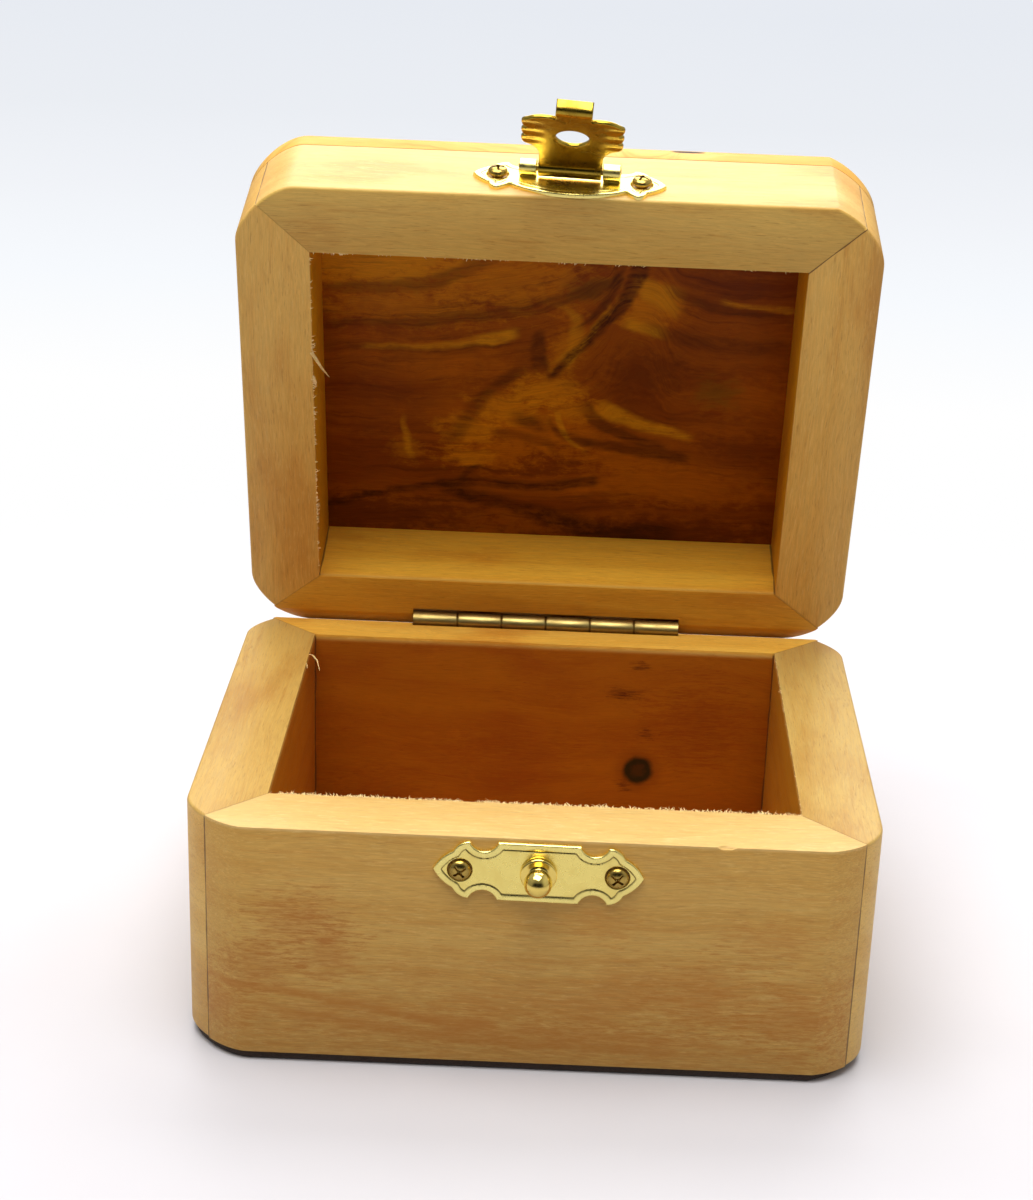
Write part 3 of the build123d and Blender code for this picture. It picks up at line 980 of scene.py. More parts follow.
@dataclass(frozen=True)
class BurlFinish(WoodFinish):
    """The figured panel: dark grain that bends into a crotch, with pale burl around it.

    Args:
        dark: Dark streaks.
        pale: Pale streaks.
        areas: Broad areas of another tone.
        bend: How the grain rises from the panel's left (0) to its right (1).
        skin: Height above which the outer side's pale sapwood shows, in millimetres.
        width: Width of the panel in millimetres.
    """

    dark: tuple[Streak, ...] = ()
    pale: tuple[Streak, ...] = ()
    areas: tuple[Spot, ...] = ()
    bend: tuple[Point, ...] = ()
    skin: float = 48.7
    width: float = 90

    def surface(self, g: Graph, effects: Effects) -> tuple[Socket, Socket, Socket]:
        """Colour, height and roughness of the figured wood.

        Args:
            g: The material's graph.
            effects: The shared node groups.

        Returns:
            Colour, height and roughness.
        """
        x, y, z = g.split(g.place())
        flat = g.join(x, y, 0.0)
        swirl = g.swing(flat, (0.09, 0.13, 0.1), 2)
        ripple = g.swing(flat, (0.5, 0.9, 0.5), 3)
        moved = g.moved(flat, g.scaled(swirl, 2.6))
        moved = g.moved(moved, g.scaled(ripple, 0.7))
        mx, my, _ = g.split(moved)
        # The grain lines follow the bend of the crotch, and lie flat at the panel's far edge.
        lean = g.curve(g.math("MULTIPLY_ADD", x, 1 / self.width, 0.5), self.bend)
        lift = g.times(lean, g.step(y, 10.0, -12.0, 1.0, 13.0))
        sunk = g.math("MAXIMUM", g.minus(z, self.skin), 0.0)
        flow_y = g.math("MULTIPLY_ADD", sunk, 0.55, g.plus(my, lift))
        flow_x = g.math("MULTIPLY_ADD", sunk, 0.8, mx)
        flow = g.join(flow_x, flow_y, g.math("MULTIPLY_ADD", sunk, 0.09, self.seed))
        bands = g.noise(flow, (0.016, 0.17, 1), 4, 0.55)
        lines = g.noise(flow, (0.05, 1.1, 1), 5, 0.7)
        fine = g.noise(flow, (0.3, 5.0, 1), 3, 0.6)
        colour = g.blend(g.step(bands, 0.36, 0.64), self.stain, self.ring)
        feather = g.noise(moved, (0.35, 0.7, 1.0), 5, 0.72)
        torn = g.math("MULTIPLY_ADD", feather, 0.5, 0.25)
        for area in self.areas:
            colour = area.over(g, effects, flat, torn, colour)
        colour = g.tint(colour, self.pore, g.step(lines, 0.5, 0.74), 0.48)
        colour = g.tint(colour, self.ring, g.step(lines, 0.46, 0.28), 0.3)
        strand = g.noise(flow, (0.08, 1.6, 1), 5, 0.7)
        layers = ((self.pale, self.light, 0.3, 0.6), (self.dark, self.pore, 0.68, 0.36))
        for streaks, tone, low, high in layers:
            ragged = g.math("MULTIPLY_ADD", feather, 0.5, g.times(strand, 0.5))
            ragged = g.step(ragged, low, high, 0.25, 1.0)
            for streak in streaks:
                mask = g.times(streak.mask(g, mx, my), ragged)
                colour = g.blend(mask, colour, tone)
        colour = g.scaled(colour, g.step(fine, 0.25, 0.75, 0.86, 1.1))
        outside = g.math("GREATER_THAN", z, self.skin)
        sapwood = g.blend(g.step(bands, 0.4, 0.62), PALE_WOOD, PALE_RING)
        sapwood = g.tint(sapwood, self.ring, g.step(lines, 0.5, 0.72), 0.4)
        edge = g.math("MAXIMUM", g.step(y, 26.0, 34.0), g.step(g.size(y), 25.0, 35.5))
        heart = g.times(g.step(bands, 0.60, 0.42), g.step(edge, 1.0, 0.0))
        sapwood = g.tint(sapwood, colour, heart, 0.75)
        colour = g.blend(outside, colour, sapwood)
        for knot in self.knots:
            colour = g.blend(knot.found(g, effects)["Heart"], colour, SMALL_KNOT)
        height = g.plus(g.times(lines, 0.5), g.times(fine, 0.5))
        return colour, height, g.step(bands, 0.2, 0.8, 0.4, 0.52)


@dataclass(frozen=True)
class MetalFinish:
    """A plated or polished metal.

    Args:
        name: The material's name.
        bright: Colour where it shines.
        dull: Colour where it is tarnished; on the tongue, the screws and the hinge also painted shade.
        tarnish: Share of the dull colour: tarnish, and on the tongue, the screws and the hinge also painted
            shade.
        polish: Roughness where it shines.
        sunk: Tint of a plate's stamped middle.
    """

    name: str
    bright: Colour
    dull: Colour
    tarnish: float
    polish: float
    sunk: Colour = (1.0, 0.96, 0.86, 1)

    def material(self, effects: Effects) -> Material:
        """Makes the material.

        Args:
            effects: The shared node groups.

        Returns:
            The material.
        """
        material, g, shader = new_material(self.name)
        place = g.scaled(g.out("ShaderNodeTexCoord", "Object"), 1 / MM)
        made = g.use(
            effects.metal, Place=place, Bright=self.bright, Dull=self.dull, Tarnish=self.tarnish,
            Polish=self.polish,
        )
        crease = g.step(g.out("ShaderNodeNewGeometry", "Pointiness"), 0.49, 0.42)
        colour = g.tint(made.outputs["Color"], self.dull, crease, 0.7)
        line, middle, _ = g.split(g.out("ShaderNodeAttribute", "Vector", attribute_name=GROOVE_SHADE_AND_SINK))
        colour = g.blend(g.times(middle, 0.8), colour, self.sunk, "MULTIPLY")
        # Painted shade: the engraved lines and the hinge's knuckle seams are coloured dark, like shade in a
        # groove.
        colour = g.tint(colour, GROOVE_SHADE, g.step(line, 0.25, 0.8), 0.85)
        roughness, height = made.outputs["Roughness"], made.outputs["Height"]
        finish_shader(g, shader, colour, roughness, height, bump=0.12, distance=0.01)
        g.fill(shader, Metallic=1.0)
        return material


@dataclass(frozen=True)
class FeltFinish:
    """Dark felt with a matted nap."""

    name: str = "dark_felt"

    def material(self) -> Material:
        """Makes the material.

        Returns:
            The material.
        """
        material, g, shader = new_material(self.name)
        place = g.place()
        nap = g.noise(place, (5.0, 5.0, 5.0), 5, 0.7, distortion=1.5)
        patch = g.noise(place, (0.4, 0.4, 0.4), 3)
        colour = g.blend(g.step(nap, 0.35, 0.7), (0.03, 0.014, 0.009, 1), (0.10, 0.055, 0.03, 1))
        colour = g.tint(colour, (0.03, 0.016, 0.012, 1), patch, 0.5)
        finish_shader(g, shader, colour, g.step(nap, 0.2, 0.8, 0.85, 1.0), nap, bump=0.9, distance=0.15)
        g.fill(shader, Sheen_Weight=0.25)
        return material


def new_material(name: str) -> tuple[Material, Graph, Node]:
    """A new material with its graph and its shader node.

    Args:
        name: The material's name.

    Returns:
        The material, its graph and its shader node.
    """
    material = bpy.data.materials.new(name)
    material.use_nodes = True
    g = Graph(material.node_tree)
    return material, g, g.first("BSDF_PRINCIPLED")


def finish_shader(
    g: Graph, shader: Node, colour: object, roughness: object, height: object, bump: float,
    distance: float,
) -> None:
    """Feeds colour, roughness and a bump to a shader.

    Args:
        g: The material's graph.
        shader: The shader node.
        colour: The base colour.
        roughness: The roughness.
        height: The height that the bump follows.
        bump: The bump's strength.
        distance: The bump's depth in millimetres.
    """
    made = g.fill(g.node("ShaderNodeBump"), Strength=bump, Distance=distance * MM, Height=height)
    g.fill(shader, Base_Color=colour, Roughness=roughness, Normal=made.outputs["Normal"])


# ---- Mesh tools, all in millimetres of the shut box ----


def add_object(name: str, data: bpy.types.ID) -> Thing:
    """A new object in the scene.

    Args:
        name: Its name.
        data: Its mesh, lamp or camera.

    Returns:
        The object.
    """
    thing = bpy.data.objects.new(name, data)
    bpy.context.scene.collection.objects.link(thing)
    return thing


def mesh_from(build: Callable[[BMesh], None]) -> Mesh:
    """A mesh filled by a function.

    Args:
        build: Adds geometry to an empty bmesh.

    Returns:
        The mesh.
    """
    made = bmesh.new()
    build(made)
    bmesh.ops.remove_doubles(made, verts=made.verts, dist=1e-4)
    bmesh.ops.recalc_face_normals(made, faces=made.faces)
    mesh = bpy.data.meshes.new("mesh")
    made.to_mesh(mesh)
    made.free()
    return mesh


def evaluated(mesh: Mesh, add: Callable[[Thing], list[Thing]]) -> Mesh:
    """The mesh after modifiers.

    Args:
        mesh: The mesh to change.
        add: Adds modifiers to an object, and returns helpers to delete afterwards.

    Returns:
        The changed mesh.
    """
    thing = add_object("work", mesh)
    helpers = add(thing)
    bpy.context.view_layer.update()
    graph = bpy.context.evaluated_depsgraph_get()
    made = bpy.data.meshes.new_from_object(thing.evaluated_get(graph))
    for helper in [thing, *helpers]:
        bpy.data.objects.remove(helper)
    return made


def carved(mesh: Mesh, cutters: Sequence[Mesh]) -> Mesh:
    """The mesh with other meshes cut out of it.

    Args:
        mesh: The mesh.
        cutters: What is cut out of it.

    Returns:
        The carved mesh.
    """

    def add(thing: Thing) -> list[Thing]:
        """Adds a cut for each cutter.

        Args:
            thing: The object to carve.

        Returns:
            The helpers.
        """
        helpers = []
        for cutter in cutters:
            helper = add_object("cutter", cutter)
            modifier = thing.modifiers.new("cut", "BOOLEAN")
            modifier.operation = "DIFFERENCE"
            modifier.solver = "EXACT"
            modifier.object = helper
            helpers.append(helper)
        return helpers

    return evaluated(mesh, add)


def eased(
    mesh: Mesh, width_of: Callable[[Vector, Vector], float], widest: float, segments: int = 3,
    angle: float = 22.0,
) -> Mesh:
    """The mesh with its sharp edges rounded.

    Args:
        mesh: The mesh to round.
        width_of: Gives the width for an edge from its two ends, in millimetres.
        widest: The largest width that it gives.
        segments: Steps across each rounding.
        angle: Edges that turn more than this many degrees are rounded.

    Returns:
        The rounded mesh.
    """
    work = bmesh.new()
    work.from_mesh(mesh)
    bmesh.ops.dissolve_limit(work, angle_limit=math.radians(0.3), verts=work.verts, edges=work.edges)
    layer = work.edges.layers.float.new("bevel_weight_edge")
    for edge in work.edges:
        if len(edge.link_faces) == 2 and edge.calc_face_angle(0.0) > math.radians(angle):
            edge[layer] = width_of(edge.verts[0].co, edge.verts[1].co) / widest
    work.to_mesh(mesh)
    work.free()

    def add(thing: Thing) -> list[Thing]:
        """Adds the rounding.

        Args:
            thing: The object to round.

        Returns:
            No helpers.
        """
        modifier = thing.modifiers.new("round", "BEVEL")
        modifier.limit_method = "WEIGHT"
        modifier.width = widest
        modifier.segments = segments
        modifier.use_clamp_overlap = True
        modifier.miter_outer = "MITER_ARC"
        return []

    return evaluated(mesh, add)


def box_mesh(low: Sequence[float], high: Sequence[float]) -> Mesh:
    """A box between two corners.

    Args:
        low: The lowest corner.
        high: The highest corner.

    Returns:
        The mesh.
    """

    def build(made: BMesh) -> None:
        """Adds the box.

        Args:
            made: The mesh to add to.
        """
        size = [b - a for a, b in zip(low, high)]
        middle = [(a + b) / 2 for a, b in zip(low, high)]
        bmesh.ops.create_cube(made, size=1.0, matrix=Matrix.Translation(middle) @ Matrix.Diagonal((*size, 1)))

    return mesh_from(build)


def prism(points: Sequence[Point], start: float, end: float, to_3d: Placer) -> Mesh:
    """An outline pushed out between two heights.

    Args:
        points: The outline.
        start: The first height.
        end: The second height.
        to_3d: Places an outline point and a height.

    Returns:
        The mesh.
    """

    def build(made: BMesh) -> None:
        """Adds the prism.

        Args:
            made: The mesh to add to.
        """
        rings = [[made.verts.new(to_3d(a, b, height)) for a, b in points] for height in (start, end)]
        made.faces.new(rings[0][::-1])
        made.faces.new(rings[1])
        count = len(points)
        for index in range(count):
            after = (index + 1) % count
            made.faces.new((rings[0][index], rings[0][after], rings[1][after], rings[1][index]))

    return mesh_from(build)


def upright(a: float, b: float, height: float) -> Triple:
    """Places a plan outline at a height."""
    return a, b, height


def lengthwise(a: float, b: float, x: float) -> Triple:
    """Places a (y, z) section at an x."""
    return x, a, b


def quarter(steps: int) -> list[float]:
    """The angles of a quarter turn."""
    return [math.pi / 2 * index / steps for index in range(steps + 1)]


def between(a: Point, b: Point, right: float, up: float) -> Point:
    """The middle of two points, moved right and up."""
    return (a[0] + b[0]) / 2 + right, (a[1] + b[1]) / 2 + up


def grid(low: np.ndarray, high: np.ndarray, spacing: float) -> np.ndarray:
    """Points of a square grid, one a row."""
    across, up = np.meshgrid(np.arange(low[0], high[0], spacing), np.arange(low[1], high[1], spacing))
    return np.stack([across.ravel(), up.ravel()], 1)


def circle(radius: float, steps: int, centre: Point = (0.0, 0.0)) -> list[Point]:
    """Points round a circle."""
    turns = [2 * math.pi * index / steps for index in range(steps)]
    return [(centre[0] + radius * math.cos(turn), centre[1] + radius * math.sin(turn)) for turn in turns]


def arc(start: Point, through: Point, end: Point, steps: int = 10) -> list[Point]:
    """Points on the arc through three points, without the last one.

    Args:
        start: Where it starts.
        through: A point on its way.
        end: Where it ends.
        steps: How many points it gets.

    Returns:
        The points.
    """
    (ax, ay), (bx, by), (cx, cy) = start, through, end
    scale = 2 * (ax * (by - cy) + bx * (cy - ay) + cx * (ay - by))
    squares = [x * x + y * y for x, y in (start, through, end)]
    ux = (squares[0] * (by - cy) + squares[1] * (cy - ay) + squares[2] * (ay - by)) / scale
    uy = (squares[0] * (cx - bx) + squares[1] * (ax - cx) + squares[2] * (bx - ax)) / scale
    radius = math.hypot(ax - ux, ay - uy)
    turns = [math.atan2(y - uy, x - ux) for x, y in (start, through, end)]
    forward = (turns[2] - turns[0]) % math.tau
    if (turns[1] - turns[0]) % math.tau > forward:
        forward -= math.tau
    return [
        (ux + radius * math.cos(turns[0] + forward * index / steps),
         uy + radius * math.sin(turns[0] + forward * index / steps)) for index in range(steps)
    ]


def to_loop(points: np.ndarray, loop: np.ndarray) -> np.ndarray:
    """Distance of each point to a closed loop.

    Args:
        points: The points, one a row.
        loop: The loop's points, one a row.

    Returns:
        The distances.
    """
    start, along = loop, np.roll(loop, -1, axis=0) - loop
    offset = points[:, None, :] - start[None, :, :]
    share = np.clip((offset * along).sum(2) / np.maximum((along ** 2).sum(1), 1e-12), 0, 1)
    return np.linalg.norm(offset - share[:, :, None] * along, axis=2).min(1)


def inside_loop(points: np.ndarray, loop: np.ndarray) -> np.ndarray:
    """Whether each point lies inside a closed loop.

    Args:
        points: The points, one a row.
        loop: The loop's points, one a row.

    Returns:
        True for each point inside.
    """
    after = np.roll(loop, -1, axis=0)
    x, y = points[:, 0, None], points[:, 1, None]
    crosses = (loop[:, 1] > y) != (after[:, 1] > y)
    rise = np.where(np.abs(after[:, 1] - loop[:, 1]) < 1e-12, 1e-12, after[:, 1] - loop[:, 1])
    at = loop[:, 0] + (y - loop[:, 1]) / rise * (after[:, 0] - loop[:, 0])
    return (crosses & (x < at)).sum(1) % 2 == 1


@dataclass
class Sheet:
    """A flat blank of sheet metal, meshed with rings of points near its edges.

    Args:
        outline: Its outline, anticlockwise.
        holes: The outlines of its holes.
        insets: How far from the edges the rings of points lie.
        spacing: Spacing of the points elsewhere.
        line: Between which distances from the outline the points lie closer, for an engraved line.
        line_spacing: Their spacing there.
    """

    outline: list[Point]
    holes: list[list[Point]]
    insets: tuple[float, ...]
    spacing: float
    line: Point | None = None
    line_spacing: float = 0.11

    def __post_init__(self) -> None:
        """Places the points and joins them into triangles."""
        loops = [np.array(loop) for loop in [self.outline, *self.holes]]
        rings = [self.ring(loop, inset if index == 0 else -inset) for index, loop in enumerate(loops)
                 for inset in self.insets]
        free = []
        for ring, inset in zip(rings, self.insets * len(loops)):
            free.append(ring[self.depth(ring, loops) > inset * 0.93])
        low, high = loops[0].min(0), loops[0].max(0)
        wide = grid(low, high, self.spacing)
        depth = self.depth(wide, loops)
        keep = depth > self.insets[-1] + self.spacing * 0.5
        if self.line:
            near, far = self.line
            close = grid(low, high, self.line_spacing)
            along = self.depth(close, loops[:1])
            inside = self.depth(close, loops) > self.insets[-1] + 0.05
            free.append(close[(along > near) & (along < far) & inside])
            along = self.depth(wide, loops[:1])
            keep &= (along < near - 0.1) | (along > far + 0.1)
        free.append(wide[keep])
        points = np.concatenate(loops + free)
        edges, start = [], 0
        for loop in loops:
            count = len(loop)
            edges += [(start + index, start + (index + 1) % count) for index in range(count)]
            start += count
        found = delaunay_2d_cdt([Vector(point) for point in points], edges, [], 1, 1e-6)
        self.points = np.array([vertex[:] for vertex in found[0]])
        triangles = np.array([face[:] for face in found[2]])
        centres = self.points[triangles].mean(1)
        keep = inside_loop(centres, loops[0])
        for hole in loops[1:]:
            keep &= ~inside_loop(centres, hole)
        self.triangles = triangles[keep]
        self.outer_depth = to_loop(self.points, loops[0])
        self.edge_depth = self.depth(self.points, loops, signed=False)

    @staticmethod
    def ring(loop: np.ndarray, inset: float) -> np.ndarray:
        """A loop moved to its left by an inset.

        Args:
            loop: The loop's points, one a row.
            inset: How far it moves.

        Returns:
            The moved loop.
        """
        before, after = loop - np.roll(loop, 1, axis=0), np.roll(loop, -1, axis=0) - loop
        normals = []
        for step in (before, after):
            step = step / np.maximum(np.linalg.norm(step, axis=1, keepdims=True), 1e-9)
            normals.append(np.stack([-step[:, 1], step[:, 0]], 1))
        middle = normals[0] + normals[1]
        middle /= np.maximum(np.linalg.norm(middle, axis=1, keepdims=True), 1e-9)
        stretch = np.maximum((middle * normals[0]).sum(1, keepdims=True), 0.4)
        return loop + middle * inset / stretch

    @staticmethod
    def depth(points: np.ndarray, loops: list[np.ndarray], signed: bool = True) -> np.ndarray:
        """Distance of points from the nearest edge, below zero outside the metal.

        Args:
            points: The points, one a row.
            loops: The outline and the holes.
            signed: Whether outside counts below zero.

        Returns:
            The distances.
        """
        distance = np.min([to_loop(points, loop) for loop in loops], axis=0)
        if signed:
            outside = ~inside_loop(points, loops[0])
            for hole in loops[1:]:
                outside |= inside_loop(points, hole)
            distance = np.where(outside, -distance, distance)
        return distance

    def mesh(
        self, top: np.ndarray, bottom: np.ndarray, to_3d: Placer,
        stamp: np.ndarray | None = None,
    ) -> Mesh:
        """The sheet between two heights.

        Args:
            top: Height of the upper side at each point.
            bottom: Height of the lower side at each point.
            to_3d: Places a point and a height.
            stamp: Where the upper side's engraved line gets painted shade, and its sunk middle, from 0 to 1,
                one point a row.

        Returns:
            The mesh.
        """

        def build(made: BMesh) -> None:
            """Adds both sides and the edges.

            Args:
                made: The mesh to add to.
            """
            layer = made.verts.layers.float_vector.new(GROOVE_SHADE_AND_SINK)
            sides = [
                [made.verts.new(to_3d(x, y, height)) for (x, y), height in zip(self.points, heights)]
                for heights in (bottom, top)
            ]
            if stamp is not None:
                for vertex, (line, middle) in zip(sides[1], stamp):
                    vertex[layer] = Vector((line, middle, 0.0))
            count: dict[tuple[int, int], int] = {}
            for a, b, c in self.triangles:
                for side, order in zip(sides, ((a, c, b), (a, b, c))):
                    made.faces.new([side[index] for index in order])
                for pair in ((a, b), (b, c), (c, a)):
                    key = (min(pair), max(pair))
                    count[key] = count.get(key, 0) + 1
            for (a, b), uses in count.items():
                if uses == 1:
                    made.faces.new((sides[0][a], sides[0][b], sides[1][b], sides[1][a]))

        return mesh_from(build)


def rounded_edge(depth: np.ndarray, radius: float) -> np.ndarray:
    """How far a rounded edge lies below the face, by distance from the edge."""
    rest = np.clip(radius - depth, 0, radius)
    return radius - np.sqrt(np.maximum(radius ** 2 - rest ** 2, 0))


def turned(profile: Sequence[Point], steps: int, to_3d: Placer) -> Mesh:
    """A profile of (radius, height) turned round the height axis.

    Args:
        profile: From one end of the axis to the other; an end at radius 0 is closed.
        steps: Steps round the axis.
        to_3d: Places two directions across the axis and a height.

    Returns:
        The mesh.
    """

    def build(made: BMesh) -> None:
        """Adds the rings and joins them.

        Args:
            made: The mesh to add to.
        """
        rings = []
        for radius, height in profile:
            if radius < 1e-6:
                rings.append([made.verts.new(to_3d(0, 0, height))])
            else:
                rings.append([made.verts.new(to_3d(x, y, height)) for x, y in circle(radius, steps)])
        for lower, upper in zip(rings, rings[1:]):
            for index in range(steps):
                after = (index + 1) % steps
                pairs = ((lower, index), (lower, after), (upper, after), (upper, index))
                unique = list(dict.fromkeys(ring[at % len(ring)] for ring, at in pairs))
                if len(unique) > 2:
                    made.faces.new(unique)

    return mesh_from(build)


def joined(meshes: Sequence[Mesh]) -> Mesh:
    """Several meshes as one.

    Args:
        meshes: The meshes.

    Returns:
        The joined mesh.
    """
    made = bmesh.new()
    for mesh in meshes:
        made.from_mesh(mesh)
    whole = bpy.data.meshes.new("mesh")
    made.to_mesh(whole)
    made.free()
    return whole


def barrel(radius: float, start: float, end: float, easing: float) -> list[Point]:
    """The profile of a rod with rounded ends.

    Args:
        radius: The rod's radius.
        start: Where it starts.
        end: Where it ends.
        easing: Rounding of its ends.

    Returns:
        The profile.
    """
    inner = radius - easing
    first = [
        (inner + easing * math.sin(turn), start + easing - easing * math.cos(turn)) for turn in quarter(4)
    ]
    last = [(r, start + end - height) for r, height in reversed(first)]
    return [(0.0, start), *first, *last, (0.0, end)]


# ---- Pieces ----


@dataclass
class Studio:
    """What the pieces share while they are made.

    Args:
        shut: Shut and open places.
        sizes: The box's sizes.
        effects: The shared node groups.
    """

    shut: ShutFrame
    sizes: BoxSizes
    effects: Effects

    def piece(
        self, name: str, mesh: Mesh, body: str, material: Material, slot: str,
        replaces: Sequence[str] = (), smooth: float = 40.0,
    ) -> None:
        """Places a mesh drawn in shut millimetres on its body.

        Args:
            name: The piece's name.
            mesh: Its mesh.
            body: The CAD body that carries it.
            material: Its material.
            slot: The record's material slot; not used.
            replaces: CAD nodes that it stands for.
            smooth: Edges that turn less than this many degrees look smooth.
        """
        count = len(mesh.vertices)
        places = np.empty(count * 3, np.float32)
        mesh.vertices.foreach_get("co", places)
        mesh.attributes.new(PLACE, "FLOAT_VECTOR", "POINT").data.foreach_set("vector", places)
        mesh.transform(self.shut.matrix(body))
        mesh.name = name
        mesh.materials.clear()
        mesh.materials.append(material)
        mesh.polygons.foreach_set("use_smooth", [True] * len(mesh.polygons))
        mesh.set_sharp_from_angle(angle=math.radians(smooth))
        thing = add_object(name, mesh)
        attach(thing, body)
        if replaces:
            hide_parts(*replaces)
        LOG.info("made %s on %s with %d faces", name, body, len(mesh.polygons))

    def metal(
        self, node: str, mesh: Mesh, body: str, material: Material, slot: str, smooth: float = 50.0
    ) -> None:
        """Places a metal piece that stands for one CAD node and is named after it."""
        self.piece(f"{node}_brass", mesh, body, material, slot, [node], smooth)


@dataclass(frozen=True)
class CornerCurve:
    """The outline of an upright corner, as a Bezier curve. Each value is a distance from the sharp corner.

    Args:
        side: Where the curve leaves the side board's face.
        side_handle: Where its handle on that face lies.
        end: Where it leaves the front or back board's face.
        end_handle: Where its handle on that face lies.
        lift: How far that handle stands inside the face, which makes the edge there crisp.
    """

    side: float = 8.6
    side_handle: float = 5.1
    end: float = 8.6
    end_handle: float = 5.1
    lift: float = 0.0

    def at(self, share: float) -> Point:
        """Distances along the end face and the side face, from the side (0) to the end (1).

        Args:
            share: Share of the way along the curve.

        Returns:
            The two distances.
        """
        rest = 1 - share
        weights = (rest ** 3, 3 * rest ** 2 * share, 3 * rest * share ** 2, share ** 3)
        along_end = weights[2] * self.end_handle + weights[3] * self.end
        along_side = weights[0] * self.side + weights[1] * self.side_handle + weights[2] * self.lift
        return along_end, along_side


@dataclass(frozen=True)
class Corner:
    """One of the box's corners: its signs in x and y, its curve and the walls that meet there."""

    right: int
    back: int
    curve: CornerCurve

    def mitre_share(self, sizes: BoxSizes) -> float:
        """Where the mitre crosses the curve.

        Args:
            sizes: The box's sizes.

        Returns:
            Share of the way along the curve.
        """
        wall = sizes.back_wall if self.back > 0 else sizes.front_wall
        low, high = 0.0, 1.0
        for _ in range(40):
            middle = (low + high) / 2
            along_end, along_side = self.curve.at(middle)
            if along_end * wall < along_side * sizes.side_wall:
                low = middle
            else:
                high = middle
        return low

    def points(self, sizes: BoxSizes, start: float, end: float, steps: int = 10) -> list[Point]:
        """Outline points between two shares of the curve.

        Args:
            sizes: The box's sizes.
            start: The first share.
            end: The last share.
            steps: Steps between them.

        Returns:
            The points.
        """
        made = []
        for index in range(steps + 1):
            along_end, along_side = self.curve.at(start + (end - start) * index / steps)
            x, y = sizes.half_width - along_end, sizes.half_depth - along_side
            made.append((self.right * x, self.back * y))
        return made


class Side(Enum):
    """The four boards of a frame, with the corners at their ends, going round anticlockwise."""

    FRONT = ("front_left", "front_right")
    RIGHT = ("front_right", "back_right")
    BACK = ("back_right", "back_left")
    LEFT = ("back_left", "front_left")


@dataclass(frozen=True)
class Easing:
    """How far the boards' edges are rounded, in millimetres."""

    upright: float = 0.06
    mitre: float = 0.05
    glued: float = 0.08
    inner: float = 0.12
    bevel: float = 0.03
    outer: float = 0.4


